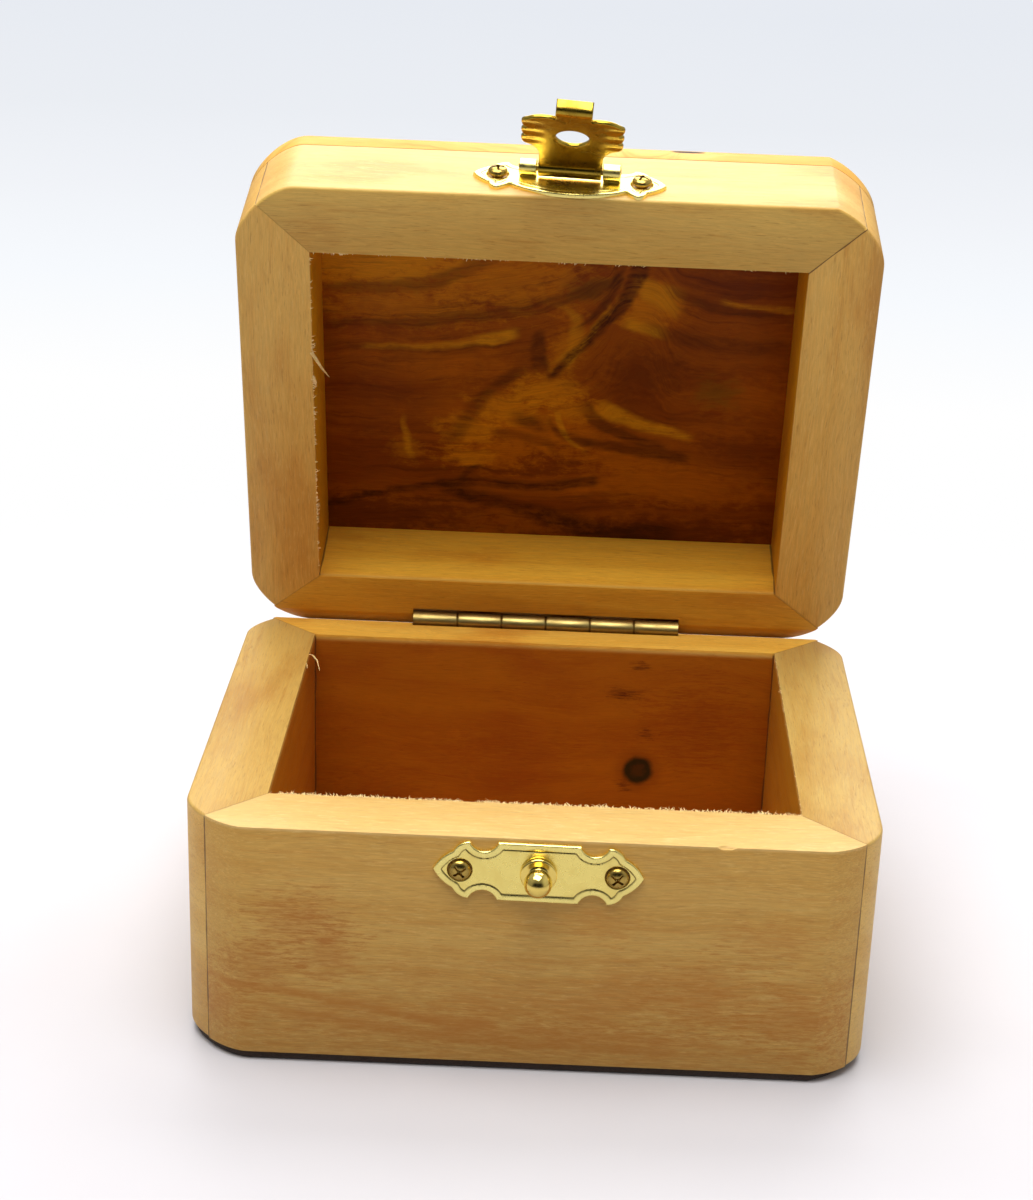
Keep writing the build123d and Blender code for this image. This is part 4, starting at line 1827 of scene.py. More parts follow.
@dataclass
class WoodFrame:
    """Four mitred boards.

    Args:
        studio: What the pieces share.
        prefix: "base" or "lid".
        bottom: Lowest height of the boards.
        top: Highest height of the boards.
        rim: Height of the rim that meets the other half.
        corners: The four corners.
        finishes: Wood of each side.
        chip: Where the front board's edge is chipped.
        stop_filling: How much nearer to the other half the bevel stands, so that they nearly touch.
        easing: How far its edges are rounded.
    """

    studio: Studio
    prefix: str
    bottom: float
    top: float
    rim: float
    corners: dict[str, Corner]
    finishes: dict[Side, WoodFinish]
    chip: Triple | None = None
    stop_filling: float = 0.09
    easing: Easing = Easing()

    def chip_cutter(self) -> Mesh:
        """A ragged lump that leaves a small chip in the front board's edge.

        Returns:
            The lump.
        """
        chance = Random(3)
        x, y, z = self.chip

        def build(made: BMesh) -> None:
            """Adds a ball and roughens it.

            Args:
                made: The mesh to add to.
            """
            bmesh.ops.create_icosphere(made, subdivisions=2, radius=1.0)
            for vertex in made.verts:
                vertex.co *= chance.uniform(0.75, 1.1)
                vertex.co = Vector((x + vertex.co.x * 1.3, y + vertex.co.y * 0.55, z + vertex.co.z * 0.4))

        return mesh_from(build)

    def outline(self, side: Side) -> list[Point]:
        """The plan of one board.

        Args:
            side: The board.

        Returns:
            The plan.
        """
        sizes = self.studio.sizes
        first, second = (self.corners[name] for name in side.value)
        at_first, at_second = first.mitre_share(sizes), second.mitre_share(sizes)
        end_board = side in (Side.FRONT, Side.BACK)
        # An end board runs from its mitre to the end face; a side board from its mitre to the side face.
        leaving = first.points(sizes, at_first, 1.0 if end_board else 0.0)
        arriving = second.points(sizes, 1.0 if end_board else 0.0, at_second)
        inner = [self.inner(second), self.inner(first)]
        return leaving + arriving + inner

    def inner(self, corner: Corner) -> Point:
        """The cavity's corner at a corner of the box.

        Args:
            corner: The box's corner.

        Returns:
            The cavity's corner.
        """
        sizes = self.studio.sizes
        y = sizes.cavity_back if corner.back > 0 else sizes.cavity_front
        return corner.right * sizes.cavity_half_width, y

    def cutters(self) -> list[Mesh]:
        """What is cut from the back board: bevel, rebate for the barrel and pocket for the leaf.

        Returns:
            The three cutters.
        """
        sizes = self.studio.sizes
        away = -1 if self.prefix == "base" else 1
        fuller = 1 - self.stop_filling / sizes.bevel_drop
        drop = self.rim + away * sizes.bevel_drop * fuller
        start = sizes.half_depth - sizes.bevel_width * fuller
        out, past = sizes.half_depth + 1, self.rim - away
        bevel = [(start, self.rim), (sizes.half_depth, drop), (out, drop), (out, past), (start, past)]
        groove = circle(sizes.rebate_radius, 40, (sizes.hinge_y, sizes.hinge_z))
        edge = sizes.hinge_z + away * (sizes.leaf_height + sizes.leaf_gap)
        reach = sizes.leaf_half_length + sizes.leaf_gap
        pocket = ((-reach, sizes.half_depth - sizes.leaf_thickness - 0.02, min(edge, sizes.hinge_z)),
                  (reach, out, max(edge, sizes.hinge_z)))
        return [
            prism(bevel, -sizes.half_width - 1, sizes.half_width + 1, lengthwise),
            prism(groove, -sizes.rebate_half_length, sizes.rebate_half_length, lengthwise),
            box_mesh(*pocket),
        ]

    def edge_width(self, a: Vector, b: Vector) -> float:
        """How far an edge is eased, from where it lies.

        Args:
            a: One end.
            b: The other end.

        Returns:
            The width.
        """
        sizes = self.studio.sizes
        middle = (a + b) / 2
        upright_edge = abs(a.z - b.z) > 0.5 * (self.top - self.bottom)
        inside = abs(middle.x) < sizes.cavity_half_width + 0.01 and (
            sizes.cavity_front - 0.01 < middle.y < sizes.cavity_back + 0.01)
        if upright_edge:
            return self.easing.upright
        if self.on_mitre(a) and self.on_mitre(b):
            return self.easing.mitre
        if self.prefix == "lid" and abs(middle.z - self.top) < 0.01:
            return self.easing.glued
        if inside:
            return self.easing.inner
        if middle.y > sizes.half_depth - sizes.bevel_width - 0.1:
            return self.easing.bevel
        return self.easing.outer

    def on_mitre(self, point: Vector) -> bool:
        """Whether a point lies on one of the mitres' planes.

        Args:
            point: The point.

        Returns:
            Whether it does.
        """
        sizes = self.studio.sizes
        for corner in self.corners.values():
            wall = sizes.back_wall if corner.back > 0 else sizes.front_wall
            along_end = sizes.half_width - corner.right * point.x
            along_side = sizes.half_depth - corner.back * point.y
            if abs(along_end * wall - along_side * sizes.side_wall) < 0.02 * wall:
                return True
        return False

    def build(self) -> None:
        """Makes the four boards."""
        studio = self.studio
        for side, finish in self.finishes.items():
            mesh = prism(self.outline(side), self.bottom, self.top, upright)
            if side is Side.BACK:
                mesh = carved(mesh, self.cutters())
            if self.chip and side is Side.FRONT:
                mesh = carved(mesh, [self.chip_cutter()])
            mesh = eased(mesh, self.edge_width, self.easing.outer)
            name = f"{self.prefix}_{side.name.lower()}_board"
            material = finish.material(studio.effects, studio.sizes)
            studio.piece(f"{name}_wood", mesh, self.prefix, material, f"{self.prefix}_wood", [name])


def whole_outline(sizes: BoxSizes, corners: dict[str, Corner], inset: float = 0.0) -> list[Point]:
    """The plan of the whole box, anticlockwise from its front left.

    Args:
        sizes: The box's sizes.
        corners: The four corners.
        inset: How far the plan is pulled in.

    Returns:
        The plan.
    """
    order = (("front_left", 0, 1), ("front_right", 1, 0), ("back_right", 0, 1), ("back_left", 1, 0))
    points = [point for name, start, end in order for point in corners[name].points(sizes, start, end, 16)]
    return [(x * (1 - inset / sizes.half_width), y * (1 - inset / sizes.half_depth)) for x, y in points]


@dataclass
class Panels:
    """The lid's top panel, the base's floor and the felt under it.

    Args:
        studio: What the pieces share.
        corners: The four corners.
        lid_finish: Wood of the top panel.
        floor_finish: Wood of the floor.
        felt: The felt.
        top_easing: Rounding of the top panel's upper edges.
        glued_easing: Rounding of its lower ones.
    """

    studio: Studio
    corners: dict[str, Corner]
    lid_finish: WoodFinish
    floor_finish: WoodFinish
    felt: FeltFinish = field(default_factory=FeltFinish)
    top_easing: float = 1.2
    glued_easing: float = 0.08

    def top_width(self, a: Vector, b: Vector) -> float:
        """How far an edge of the top panel is eased."""
        return self.top_easing if (a.z + b.z) / 2 > self.studio.sizes.lid_joint + 2 else self.glued_easing

    def build(self) -> None:
        """Makes the panels."""
        studio, sizes = self.studio, self.studio.sizes
        top = prism(whole_outline(sizes, self.corners), sizes.lid_joint, sizes.lid_top, upright)
        top = eased(top, self.top_width, self.top_easing, 5, 50.0)
        wood = self.lid_finish.material(studio.effects, sizes)
        studio.piece("lid_top_panel_wood", top, "lid", wood, "lid_panel_wood", ["lid_top_panel"])
        gap = 0.06
        low = (-sizes.cavity_half_width + gap, sizes.cavity_front + gap, sizes.wood_bottom)
        high = (sizes.cavity_half_width - gap, sizes.cavity_back - gap, sizes.floor_top)
        floor = eased(box_mesh(low, high), lambda a, b: 0.1, 0.1)
        wood = self.floor_finish.material(studio.effects, sizes)
        studio.piece("base_bottom_panel_wood", floor, "base", wood, "base_floor_wood", ["base_bottom_panel"])
        pad = prism(whole_outline(sizes, self.corners, 0.5), 0.0, sizes.wood_bottom, upright)
        pad = eased(pad, lambda a, b: 0.25, 0.25, 3, 50.0)
        studio.piece("base_felt", pad, "base", self.felt.material(), "felt", ["base_felt_pad"])


@dataclass(frozen=True)
class FibreFinish:
    """Torn, pale wood fibres."""

    name: str = "torn_fibre"

    def material(self) -> Material:
        """Makes the material.

        Returns:
            The material.
        """
        material, g, shader = new_material(self.name)
        streak = g.noise(g.place(), (3.0, 3.0, 3.0), 3)
        colour = g.blend(g.step(streak, 0.3, 0.7), (0.88, 0.63, 0.30, 1), (0.70, 0.42, 0.13, 1))
        finish_shader(g, shader, colour, g.step(streak, 0.2, 0.8, 0.6, 0.8), streak, bump=0.3, distance=0.03)
        g.fill(shader, Subsurface_Weight=0.15, Subsurface_Scale=0.3 * MM)
        return material


@dataclass(frozen=True)
class Splinter:
    """A curved splinter: its route on the shut box and its half widths along it."""

    route: tuple[Triple, ...]
    widths: tuple[float, ...]

    def add(self, made: BMesh) -> None:
        """Adds a three-sided spike along the route.

        Args:
            made: The mesh to add to.
        """
        rings = []
        points = [Vector(point) for point in self.route]
        for index, (point, width) in enumerate(zip(points, self.widths)):
            ahead = points[min(index + 1, len(points) - 1)] - points[max(index - 1, 0)]
            side = ahead.cross(Vector((0, 0.3, 1))).normalized()
            up = side.cross(ahead).normalized()
            spots = (side * width, up * width * 0.55, -side * width)
            rings.append([made.verts.new(point + spot) for spot in spots])
        for lower, upper in zip(rings, rings[1:]):
            for index in range(3):
                after = (index + 1) % 3
                made.faces.new((lower[index], lower[after], upper[after], upper[index]))
        made.faces.new(rings[0][::-1])
        made.faces.new(rings[-1])


@dataclass(frozen=True)
class TornEdge:
    """Fibres torn along a sawn edge.

    Args:
        start: Where the edge starts on the shut box.
        end: Where it ends.
        lean: Where the fibres point.
        count: How many there are.
        lengths: Their shortest and longest length.
        width: Their half width.
        seed: Seed of their places.
    """

    start: Triple
    end: Triple
    lean: Triple
    count: int
    lengths: tuple[float, float]
    width: float
    seed: int

    def splinters(self) -> Iterable[Splinter]:
        """The fibres.

        Returns:
            The fibres.
        """
        chance = Random(self.seed)
        start, end, lean = Vector(self.start), Vector(self.end), Vector(self.lean).normalized()
        along = (end - start).normalized()
        cluster = [chance.uniform(0, 1) for _ in range(self.count // 9 + 1)]
        for index in range(self.count):
            share = chance.uniform(0, 1)
            if chance.random() < 0.6:
                share = min(max(chance.choice(cluster) + chance.gauss(0, 0.012), 0), 1)
            root = start.lerp(end, share)
            way = (lean + along * chance.uniform(-0.9, 0.9)
                   + Vector([chance.uniform(-0.45, 0.45) for _ in range(3)])).normalized()
            length = self.lengths[0] + (self.lengths[1] - self.lengths[0]) * chance.random() ** 2.2
            curl = Vector([chance.uniform(-0.35, 0.35) for _ in range(3)]) * length
            points = [root - way * 0.12, root + way * length * 0.5, root + way * length + curl]
            width = self.width * chance.uniform(0.5, 1.3)
            yield Splinter(tuple(tuple(point) for point in points), (width, width * 0.8, width * 0.12))


@dataclass
class RoughWood:
    """The splinters and torn fibres that the saw left.

    Args:
        studio: What the pieces share.
        reach: How far a fibre may stand over a rim, so that the shut rims don't pinch it.
    """

    studio: Studio
    reach: float = 0.13

    def build(self) -> None:
        """Makes the fibres on the base and on the lid."""
        sizes = self.studio.sizes
        half, front, back = sizes.cavity_half_width, sizes.cavity_front, sizes.cavity_back
        rim, lid = sizes.base_rim, sizes.lid_rim
        base = [
            TornEdge((-half, front, rim), (half, front, rim), (0, 1, 0.12), 700, (0.2, 0.95), 0.08, 4),
            TornEdge((half, front, rim), (half, back, rim), (-1, 0, 0.1), 60, (0.1, 0.4), 0.06, 5),
        ]
        base_splinters = [
            Splinter(
                ((-34.9, 20.6, rim - 0.3), (-34.1, 19.4, rim + 0.1), (-33.2, 17.4, rim + 0.15),
                 (-32.6, 15.2, rim - 0.5)),
                (0.16, 0.16, 0.11, 0.03),
            ),
            Splinter(
                ((-34.8, 16.8, rim - 0.1), (-34.5, 15.8, rim), (-34.4, 14.9, rim - 0.1)), (0.1, 0.07, 0.02)
            ),
        ]
        low = [
            TornEdge((-half, front + 1, lid), (-half, back - 1, lid), (1, 0, -0.1), 150, (0.1, 0.6), 0.08, 6),
            TornEdge((-half, front, lid), (half, front, lid), (0, 1, -0.1), 80, (0.08, 0.35), 0.06, 7),
        ]
        low_splinters = [
            Splinter(
                ((-35.1, -11.2, lid + 0.1), (-34.3, -10.0, lid - 0.25), (-33.4, -8.4, lid - 0.2),
                 (-32.4, -6.6, lid + 0.5)),
                (0.26, 0.26, 0.18, 0.04),
            ),
            Splinter(
                ((-34.9, -6.9, lid + 0.1), (-34.4, -6.0, lid - 0.1), (-34.3, -5.0, lid + 0.3)),
                (0.35, 0.25, 0.05),
            ),
        ]
        material = FibreFinish().material()
        self.half("base", base, base_splinters, (-math.inf, rim + self.reach), material)
        self.half("lid", low, low_splinters, (lid - self.reach, math.inf), material)

    def half(
        self, body: str, edges: Sequence[TornEdge], splinters: Sequence[Splinter], heights: Point,
        material: Material,
    ) -> None:
        """Makes the fibres of one half of the box.

        Args:
            body: The half that carries them.
            edges: Its torn edges.
            splinters: Its larger splinters.
            heights: The heights that they are kept between.
            material: Their material.
        """

        def build(made: BMesh) -> None:
            """Adds the fibres and keeps them between the heights.

            Args:
                made: The mesh to add to.
            """
            for edge in edges:
                for fibre in edge.splinters():
                    fibre.add(made)
            for splinter in splinters:
                splinter.add(made)
            for vertex in made.verts:
                vertex.co.z = min(max(vertex.co.z, heights[0]), heights[1])

        self.studio.piece(f"{body}_torn_fibres", mesh_from(build), body, material, f"{body}_wood")


@dataclass(frozen=True)
class PlateSizes:
    """Sizes of the stamped plates in millimetres."""

    thickness: float = 0.6
    tip: float = 13.4
    half_height: float = 4.1
    body: float = 5.2
    notch: Point = (7.2, 2.75)
    ear: Point = (8.8, 4.0)
    shoulder: Point = (10.9, 2.6)
    lobe: Point = (9.7, 4.1)
    lobe_notch: Point = (8.1, 2.7)
    skirt: float = 5.0
    screw_x: float = 10.0
    screw_head: float = 1.4
    screw_dome: float = 0.75
    groove: float = 0.95

    def shoulder_edge(self) -> list[Point]:
        """From the right tip to the shoulder above it."""
        return arc((self.tip, 0.0), (self.tip - 0.75, self.shoulder[1] / 2 - 0.1), self.shoulder)

    def upper_edge(self) -> list[Point]:
        """From the right tip over the ear and the notch to the body's corner.

        Returns:
            The points.
        """
        swell = between(self.ear, self.shoulder, 0.25, 0.3)
        corner = (self.body, self.half_height)
        flat = [(self.body * (1 - index / 8), self.half_height) for index in range(8)]
        ear = arc(self.shoulder, swell, self.ear) + arc(self.ear, self.notch, corner)
        return self.shoulder_edge() + ear + flat

    def lower_edge(self) -> list[Point]:
        """From the right tip over the lobe, as though it were above, to the skirt's start.

        Returns:
            The points.
        """
        lobe = arc(self.shoulder, between(self.shoulder, self.lobe, 0.25, 0.3), self.lobe)
        notch = arc(self.lobe, between(self.lobe, self.lobe_notch, 0.1, 0.3), self.lobe_notch)
        return self.shoulder_edge() + lobe + notch

    def upper_half(self) -> list[Point]:
        """From the right tip over the top, almost to the left tip."""
        upper = [*self.upper_edge(), (0.0, self.half_height)]
        return upper + [(-x, z) for x, z in upper[:0:-1]][1:]

    def catch_outline(self) -> list[Point]:
        """The outline of the catch's plate, anticlockwise from its right tip."""
        half = self.upper_half()
        return half + [(-x, -z) for x, z in half]

    def hasp_outline(self) -> list[Point]:
        """The outline of the hasp's plate, anticlockwise from its right tip.

        Returns:
            The outline.
        """
        top = [*self.upper_half(), (-self.tip, 0.0)]
        lower = self.lower_edge()
        nx, nz = self.lobe_notch
        skirt = arc((-nx, -nz), (0.0, -self.skirt), (nx, -nz), 28)
        left, right = [(-x, -z) for x, z in lower[1:]], [(x, -z) for x, z in lower[:0:-1]]
        return [*top, *left, *skirt, (nx, -nz), *right]


@dataclass(frozen=True)
class FaceFrame:
    """A tilted place on the box's front, with directions right, up and out.

    Args:
        x: Its middle's x on the shut box.
        z: Its middle's height on the shut box.
        front: The front face's y.
        tilt: Its tilt in degrees, clockwise from the front.
    """

    x: float
    z: float
    front: float
    tilt: float

    def place(self, right: float, up: float, out: float) -> Triple:
        """Places a point given in its directions.

        Args:
            right: How far right.
            up: How far up.
            out: How far out of the face.

        Returns:
            The place on the shut box.
        """
        turn = math.radians(self.tilt)
        x = self.x + right * math.cos(turn) + up * math.sin(turn)
        return x, self.front - out, self.z - right * math.sin(turn) + up * math.cos(turn)

    def lay(self, mesh: Mesh) -> Mesh:
        """Moves a mesh that is drawn in its directions to its place.

        Args:
            mesh: The mesh.

        Returns:
            The same mesh.
        """
        for vertex in mesh.vertices:
            vertex.co = self.place(*vertex.co)
        return mesh

    def rod(self, profile: Sequence[Point], steps: int, height: float) -> Mesh:
        """A profile turned round a line that runs right, at a height over the face."""
        return turned(profile, steps, lambda a, b, right: self.place(right, a, height + b))


@dataclass
class Fitting:
    """What the catch and the hasp share: a stamped plate and two screws.

    Args:
        studio: What the pieces share.
        frame: Where the plate sits.
        metal: Finish of the plate.
        screw_metal: Finish of the screws.
        sizes: Sizes of the plate.
    """

    studio: Studio
    frame: FaceFrame
    metal: Material
    screw_metal: Material
    sizes: PlateSizes = field(default_factory=PlateSizes)

    def plate(self, outline: list[Point], holes: list[list[Point]]) -> Mesh:
        """A stamped plate with a rounded edge and a line engraved along it.

        Args:
            outline: Its outline.
            holes: Its holes.

        Returns:
            The mesh.
        """
        sizes = self.sizes
        line = (sizes.groove - 0.26, sizes.groove + 0.34)
        sheet = Sheet(outline, holes, (0.04, 0.09, 0.16, 0.24), 0.4, line)
        top = sizes.thickness - rounded_edge(sheet.edge_depth, 0.22)
        groove = np.clip(1 - np.abs(sheet.outer_depth - sizes.groove) / 0.15, 0, 1)
        top -= 0.11 * groove * groove * (3 - 2 * groove)
        top -= 0.05 * np.clip((sheet.outer_depth - sizes.groove) / 0.15, 0, 1)
        middle = np.clip((sheet.outer_depth - sizes.groove) / 0.2, 0, 1)
        # The groove's mask also goes to the material, which paints shade into the engraved line.
        return sheet.mesh(top, np.zeros(len(top)), self.frame.place, np.stack([groove, middle], 1))

    def screw_hole(self, side: int) -> list[Point]:
        """The outline of a screw's hole, clockwise."""
        return circle(self.sizes.screw_head + 0.12, 40, (side * self.sizes.screw_x, 0.0))

    def screw(self, side: int, turn: float, proud: float) -> Mesh:
        """A domed screw with a cross recess.

        Args:
            side: -1 for the left one, 1 for the right one.
            turn: Turn of its cross in degrees.
            proud: How far its rim stands above the plate.

        Returns:
            The mesh.
        """
        sizes = self.sizes
        head, dome = sizes.screw_head, sizes.screw_dome
        base = sizes.thickness + proud
        cap = [(head * math.cos(angle) ** 0.9, base + dome * math.sin(angle)) for angle in quarter(9)[:-1]]
        shank = [(0.0, 0.05), (0.75, 0.05), (0.8, 0.2), (head - 0.06, base - 0.2), (head, base - 0.05)]
        centre = side * sizes.screw_x

        def upright_at(a: float, b: float, height: float) -> Triple:
            """Places a point round the screw's own axis."""
            return centre + a, b, height

        body = turned([*shank, *cap, (0.0, base + dome)], 48, upright_at)
        cutters = []
        for more in (0, 90):
            across = Matrix.Rotation(math.radians(turn + more), 4, "Z")
            slot = box_mesh((-0.95, -0.17, base + 0.1), (0.95, 0.17, base + dome + 1))
            slot = eased(slot, lambda a, b: 0.06, 0.06, 2)
            slot.transform(Matrix.Translation((centre, 0, 0)) @ across)
            cutters.append(slot)
        cone = [(0.0, base - 0.05), (0.2, base + 0.1), (0.42, base + dome + 0.4), (0.0, base + dome + 0.5)]
        recess = turned(cone, 24, upright_at)
        return self.frame.lay(carved(carved(body, cutters), [recess]))

    def screws(self, name: str, body: str, turns: Point, proud: float) -> None:
        """Makes both screws."""
        mesh = joined([self.screw(side, turn, proud) for side, turn in zip((-1, 1), turns)])
        self.studio.metal(name, mesh, body, self.screw_metal, "screw_brass", 35.0)


@dataclass
class Catch(Fitting):
    """The plate and the ball knob on the base.

    Args:
        knob_metal: Finish of the knob.
        collar: Radius of its collar.
        collar_height: Height of its collar.
        collar_easing: Rounding of its collar.
        neck: Radius of its neck.
        ball: Radius of its ball.
        ball_height: Height of the ball's middle over the plate.
    """

    knob_metal: Material | None = None
    collar: float = 2.35
    collar_height: float = 0.67
    collar_easing: float = 0.28
    neck: float = 1.0
    ball: float = 1.8
    ball_height: float = 2.6

    def build(self) -> None:
        """Makes the catch."""
        hole = circle(0.85, 24)
        mesh = self.plate(self.sizes.catch_outline(), [self.screw_hole(-1), self.screw_hole(1), hole])
        self.studio.metal("catch_plate", mesh, "base", self.metal, "fitting_brass")
        self.screws("catch_screws", "base", (38.0, 52.0), 0.0)
        self.knob()

    def knob(self) -> None:
        """Makes the ball knob with its collar."""
        face, collar, easing = self.sizes.thickness, self.collar, self.collar_easing
        top = face + self.collar_height
        profile = [(0.0, 0.0), (0.8, 0.0), (0.8, face), (collar - 0.08, face), (collar, face + 0.1)]
        for turn in quarter(5):
            x, height = easing * math.cos(turn), easing * math.sin(turn)
            profile.append((collar - easing + x, top - easing + height))
        profile += [(1.55, top), (1.28, top + 0.1), (self.neck + 0.06, 1.0 + face)]
        start, steps = math.asin((self.neck + 0.05) / self.ball), 22
        for index in range(steps + 1):
            turn = start + (math.pi - start) * index / steps
            profile.append((self.ball * math.sin(turn), face + self.ball_height - self.ball * math.cos(turn)))
        profile[-1] = (0.0, profile[-1][1])
        mesh = turned(profile, 64, self.frame.place)
        self.studio.metal("catch_knob", mesh, "base", self.knob_metal, "fitting_brass")


@dataclass(frozen=True)
class TongueSizes:
    """The hasp's tongue: a blank with scalloped wings, a hole for the knob and a lip bent out at its end.

    Heights run down from the pin; all sizes are in millimetres.

    Args:
        neck: Half width of the neck.
        neck_end: Where the neck ends.
        wing: Half width over the scallops.
        start: Where the scallops start.
        end: Where they end.
        scallops: How many there are on a side.
        scallop_depth: How deep they are.
        tab: Half width of the tab under them.
        shoulder: How far the wings take to run in to the tab.
        length: Where the bent lip lies.
        lip: How far the lip stands out.
        bend: Radius of the bend.
        half: Half of the sheet's thickness.
        hole: Radius of the hole.
        hole_at: Where the hole lies.
        dish: How deep the flutes between the scallops are pressed.
    """

    neck: float = 4.4
    neck_end: float = 4.4
    wing: float = 6.9
    start: float = 7.4
    end: float = 14.4
    scallops: int = 3
    scallop_depth: float = 0.8
    tab: float = 2.45
    shoulder: float = 0.6
    length: float = 17.1
    lip: float = 2.1
    bend: float = 0.55
    half: float = 0.325
    hole: float = 2.25
    hole_at: float = 9.9
    dish: float = 0.1

    @property
    def pitch(self) -> float:
        """Height of a scallop."""
        return (self.end - self.start) / self.scallops

    @property
    def run(self) -> float:
        """Where the bend starts."""
        return self.length - self.half - self.bend

    def outline(self) -> list[Point]:
        """The outline of the flat blank.

        Returns:
            The outline.
        """
        valley, tab_start = self.wing - self.scallop_depth, self.end + self.shoulder
        side = [(self.neck, 0.0), (self.neck, 1.5), (self.neck, 3.0)]
        neck, first = (self.neck, self.neck_end), (valley, self.start)
        side += arc(neck, between(neck, first, -0.35, 0.25), first)
        for index in range(self.scallops):
            top = self.start + index * self.pitch
            side += arc((valley, top), (self.wing, top + self.pitch / 2), (valley, top + self.pitch), 12)
        side += arc((valley, self.end), ((valley + self.tab) / 2, self.end + 0.75), (self.tab, tab_start))
        tip = self.run + math.pi / 2 * self.bend + self.lip - self.bend - self.half
        side += [(self.tab, tab_start + (tip - self.end - self.shoulder) * index / 12) for index in range(13)]
        side += [(self.tab * (1 - index / 5), tip) for index in range(1, 6)]
        return side + [(-x, down) for x, down in side[-2::-1]]

    def mesh(self, to_3d: Placer) -> Mesh:
        """The bent tongue.

        Args:
            to_3d: Places a point given across, down and out.

        Returns:
            The mesh.
        """
        hole = circle(self.hole, 48, (0.0, self.hole_at))
        sheet = Sheet(self.outline(), [hole], (0.05, 0.12, 0.2, 0.5), 0.38)
        edge = rounded_edge(sheet.edge_depth, 0.2)
        x, down = sheet.points[:, 0], sheet.points[:, 1]
        flute = np.cos((down - self.start) / self.pitch * 2 * math.pi)
        flute = flute * np.clip((np.abs(x) - 3.6) / 2.2, 0, 1)
        flute *= np.clip((down - self.start + 0.4) / 0.8, 0, 1) * np.clip((self.end + 0.4 - down) / 0.8, 0, 1)
        pressed = -self.dish * flute

        def fold(across: float, along: float, height: float) -> Triple:
            """Places a point of the flat blank on the bent sheet.

            Args:
                across: How far across.
                along: How far down the blank.
                height: Height over its middle.

            Returns:
                The place.
            """
            turn = min(max((along - self.run) / self.bend, 0.0), math.pi / 2)
            rest = max(along - self.run - math.pi / 2 * self.bend, 0.0)
            reach = min(along, self.run) + (self.bend - height) * math.sin(turn)
            out = height * math.cos(turn) + self.bend * (1 - math.cos(turn)) + rest
            return to_3d(across, reach, out)

        return sheet.mesh(self.half - edge + pressed, edge - self.half + pressed, fold)


@dataclass
class Hasp(Fitting):
    """The plate on the lid with its knuckles, pin and swinging tongue.

    Args:
        tongue_metal: Finish of the tongue.
        axis_height: Height of the pin over the box's face.
        knuckle: Radius of the knuckles.
        pin: Radius of the pin.
        tongue_half: Half width of the tongue at the pin.
        gap: Gap between the tongue and the plate's knuckles.
        knuckle_width: Width of one of those.
        skew: How far the tongue hangs askew, in degrees.
        blank: Sizes of the tongue.
    """

    tongue_metal: Material | None = None
    axis_height: float = 1.9
    knuckle: float = 1.15
    pin: float = 0.5
    tongue_half: float = 4.35
    gap: float = 0.25
    knuckle_width: float = 2.4
    skew: float = 4.0
    blank: TongueSizes = TongueSizes()

    def build(self) -> None:
        """Makes the hasp."""
        parts = [self.plate(self.sizes.hasp_outline(), [self.screw_hole(-1), self.screw_hole(1)])]
        near = self.tongue_half + self.gap
        far = near + self.knuckle_width
        for start, end in ((-far, -near), (near, far)):
            parts.append(self.frame.rod(barrel(self.knuckle, start, end, 0.12), 40, self.axis_height))
            foot = box_mesh((start, 0.0, 0.3), (end, self.knuckle, self.axis_height))
            parts.append(self.frame.lay(eased(foot, lambda a, b: 0.1, 0.1)))
        self.studio.metal("hasp_plate", joined(parts), "lid", self.metal, "fitting_brass")
        reach = far + 0.08
        pin = self.frame.rod(barrel(self.pin, -reach, reach, 0.15), 24, self.axis_height)
        self.studio.metal("hasp_pin", pin, "lid", self.screw_metal, "screw_brass")
        self.screws("hasp_screws", "lid", (12.0, 70.0), 0.3)
        self.tongue()

    def skewed(self, across: float, down: float, out: float) -> Triple:
        """Places a point of the tongue's sheet, given in its own directions.

        Args:
            across: How far across.
            down: How far down.
            out: How far out.

        Returns:
            The place on the shut box.
        """
        turn = math.radians(self.skew)
        return self.frame.place(across * math.cos(turn) + down * math.sin(turn),
                                across * math.sin(turn) - down * math.cos(turn), self.axis_height + out)

    def tongue(self) -> None:
        """Makes the tongue with its knuckle."""
        profile = barrel(self.knuckle, -self.tongue_half, self.tongue_half, 0.12)
        sheet = self.blank.mesh(self.skewed)
        mesh = joined([sheet, self.frame.rod(profile, 48, self.axis_height)])
        self.studio.metal("hasp_tongue", mesh, "hasp_tongue", self.tongue_metal, "tongue_brass")


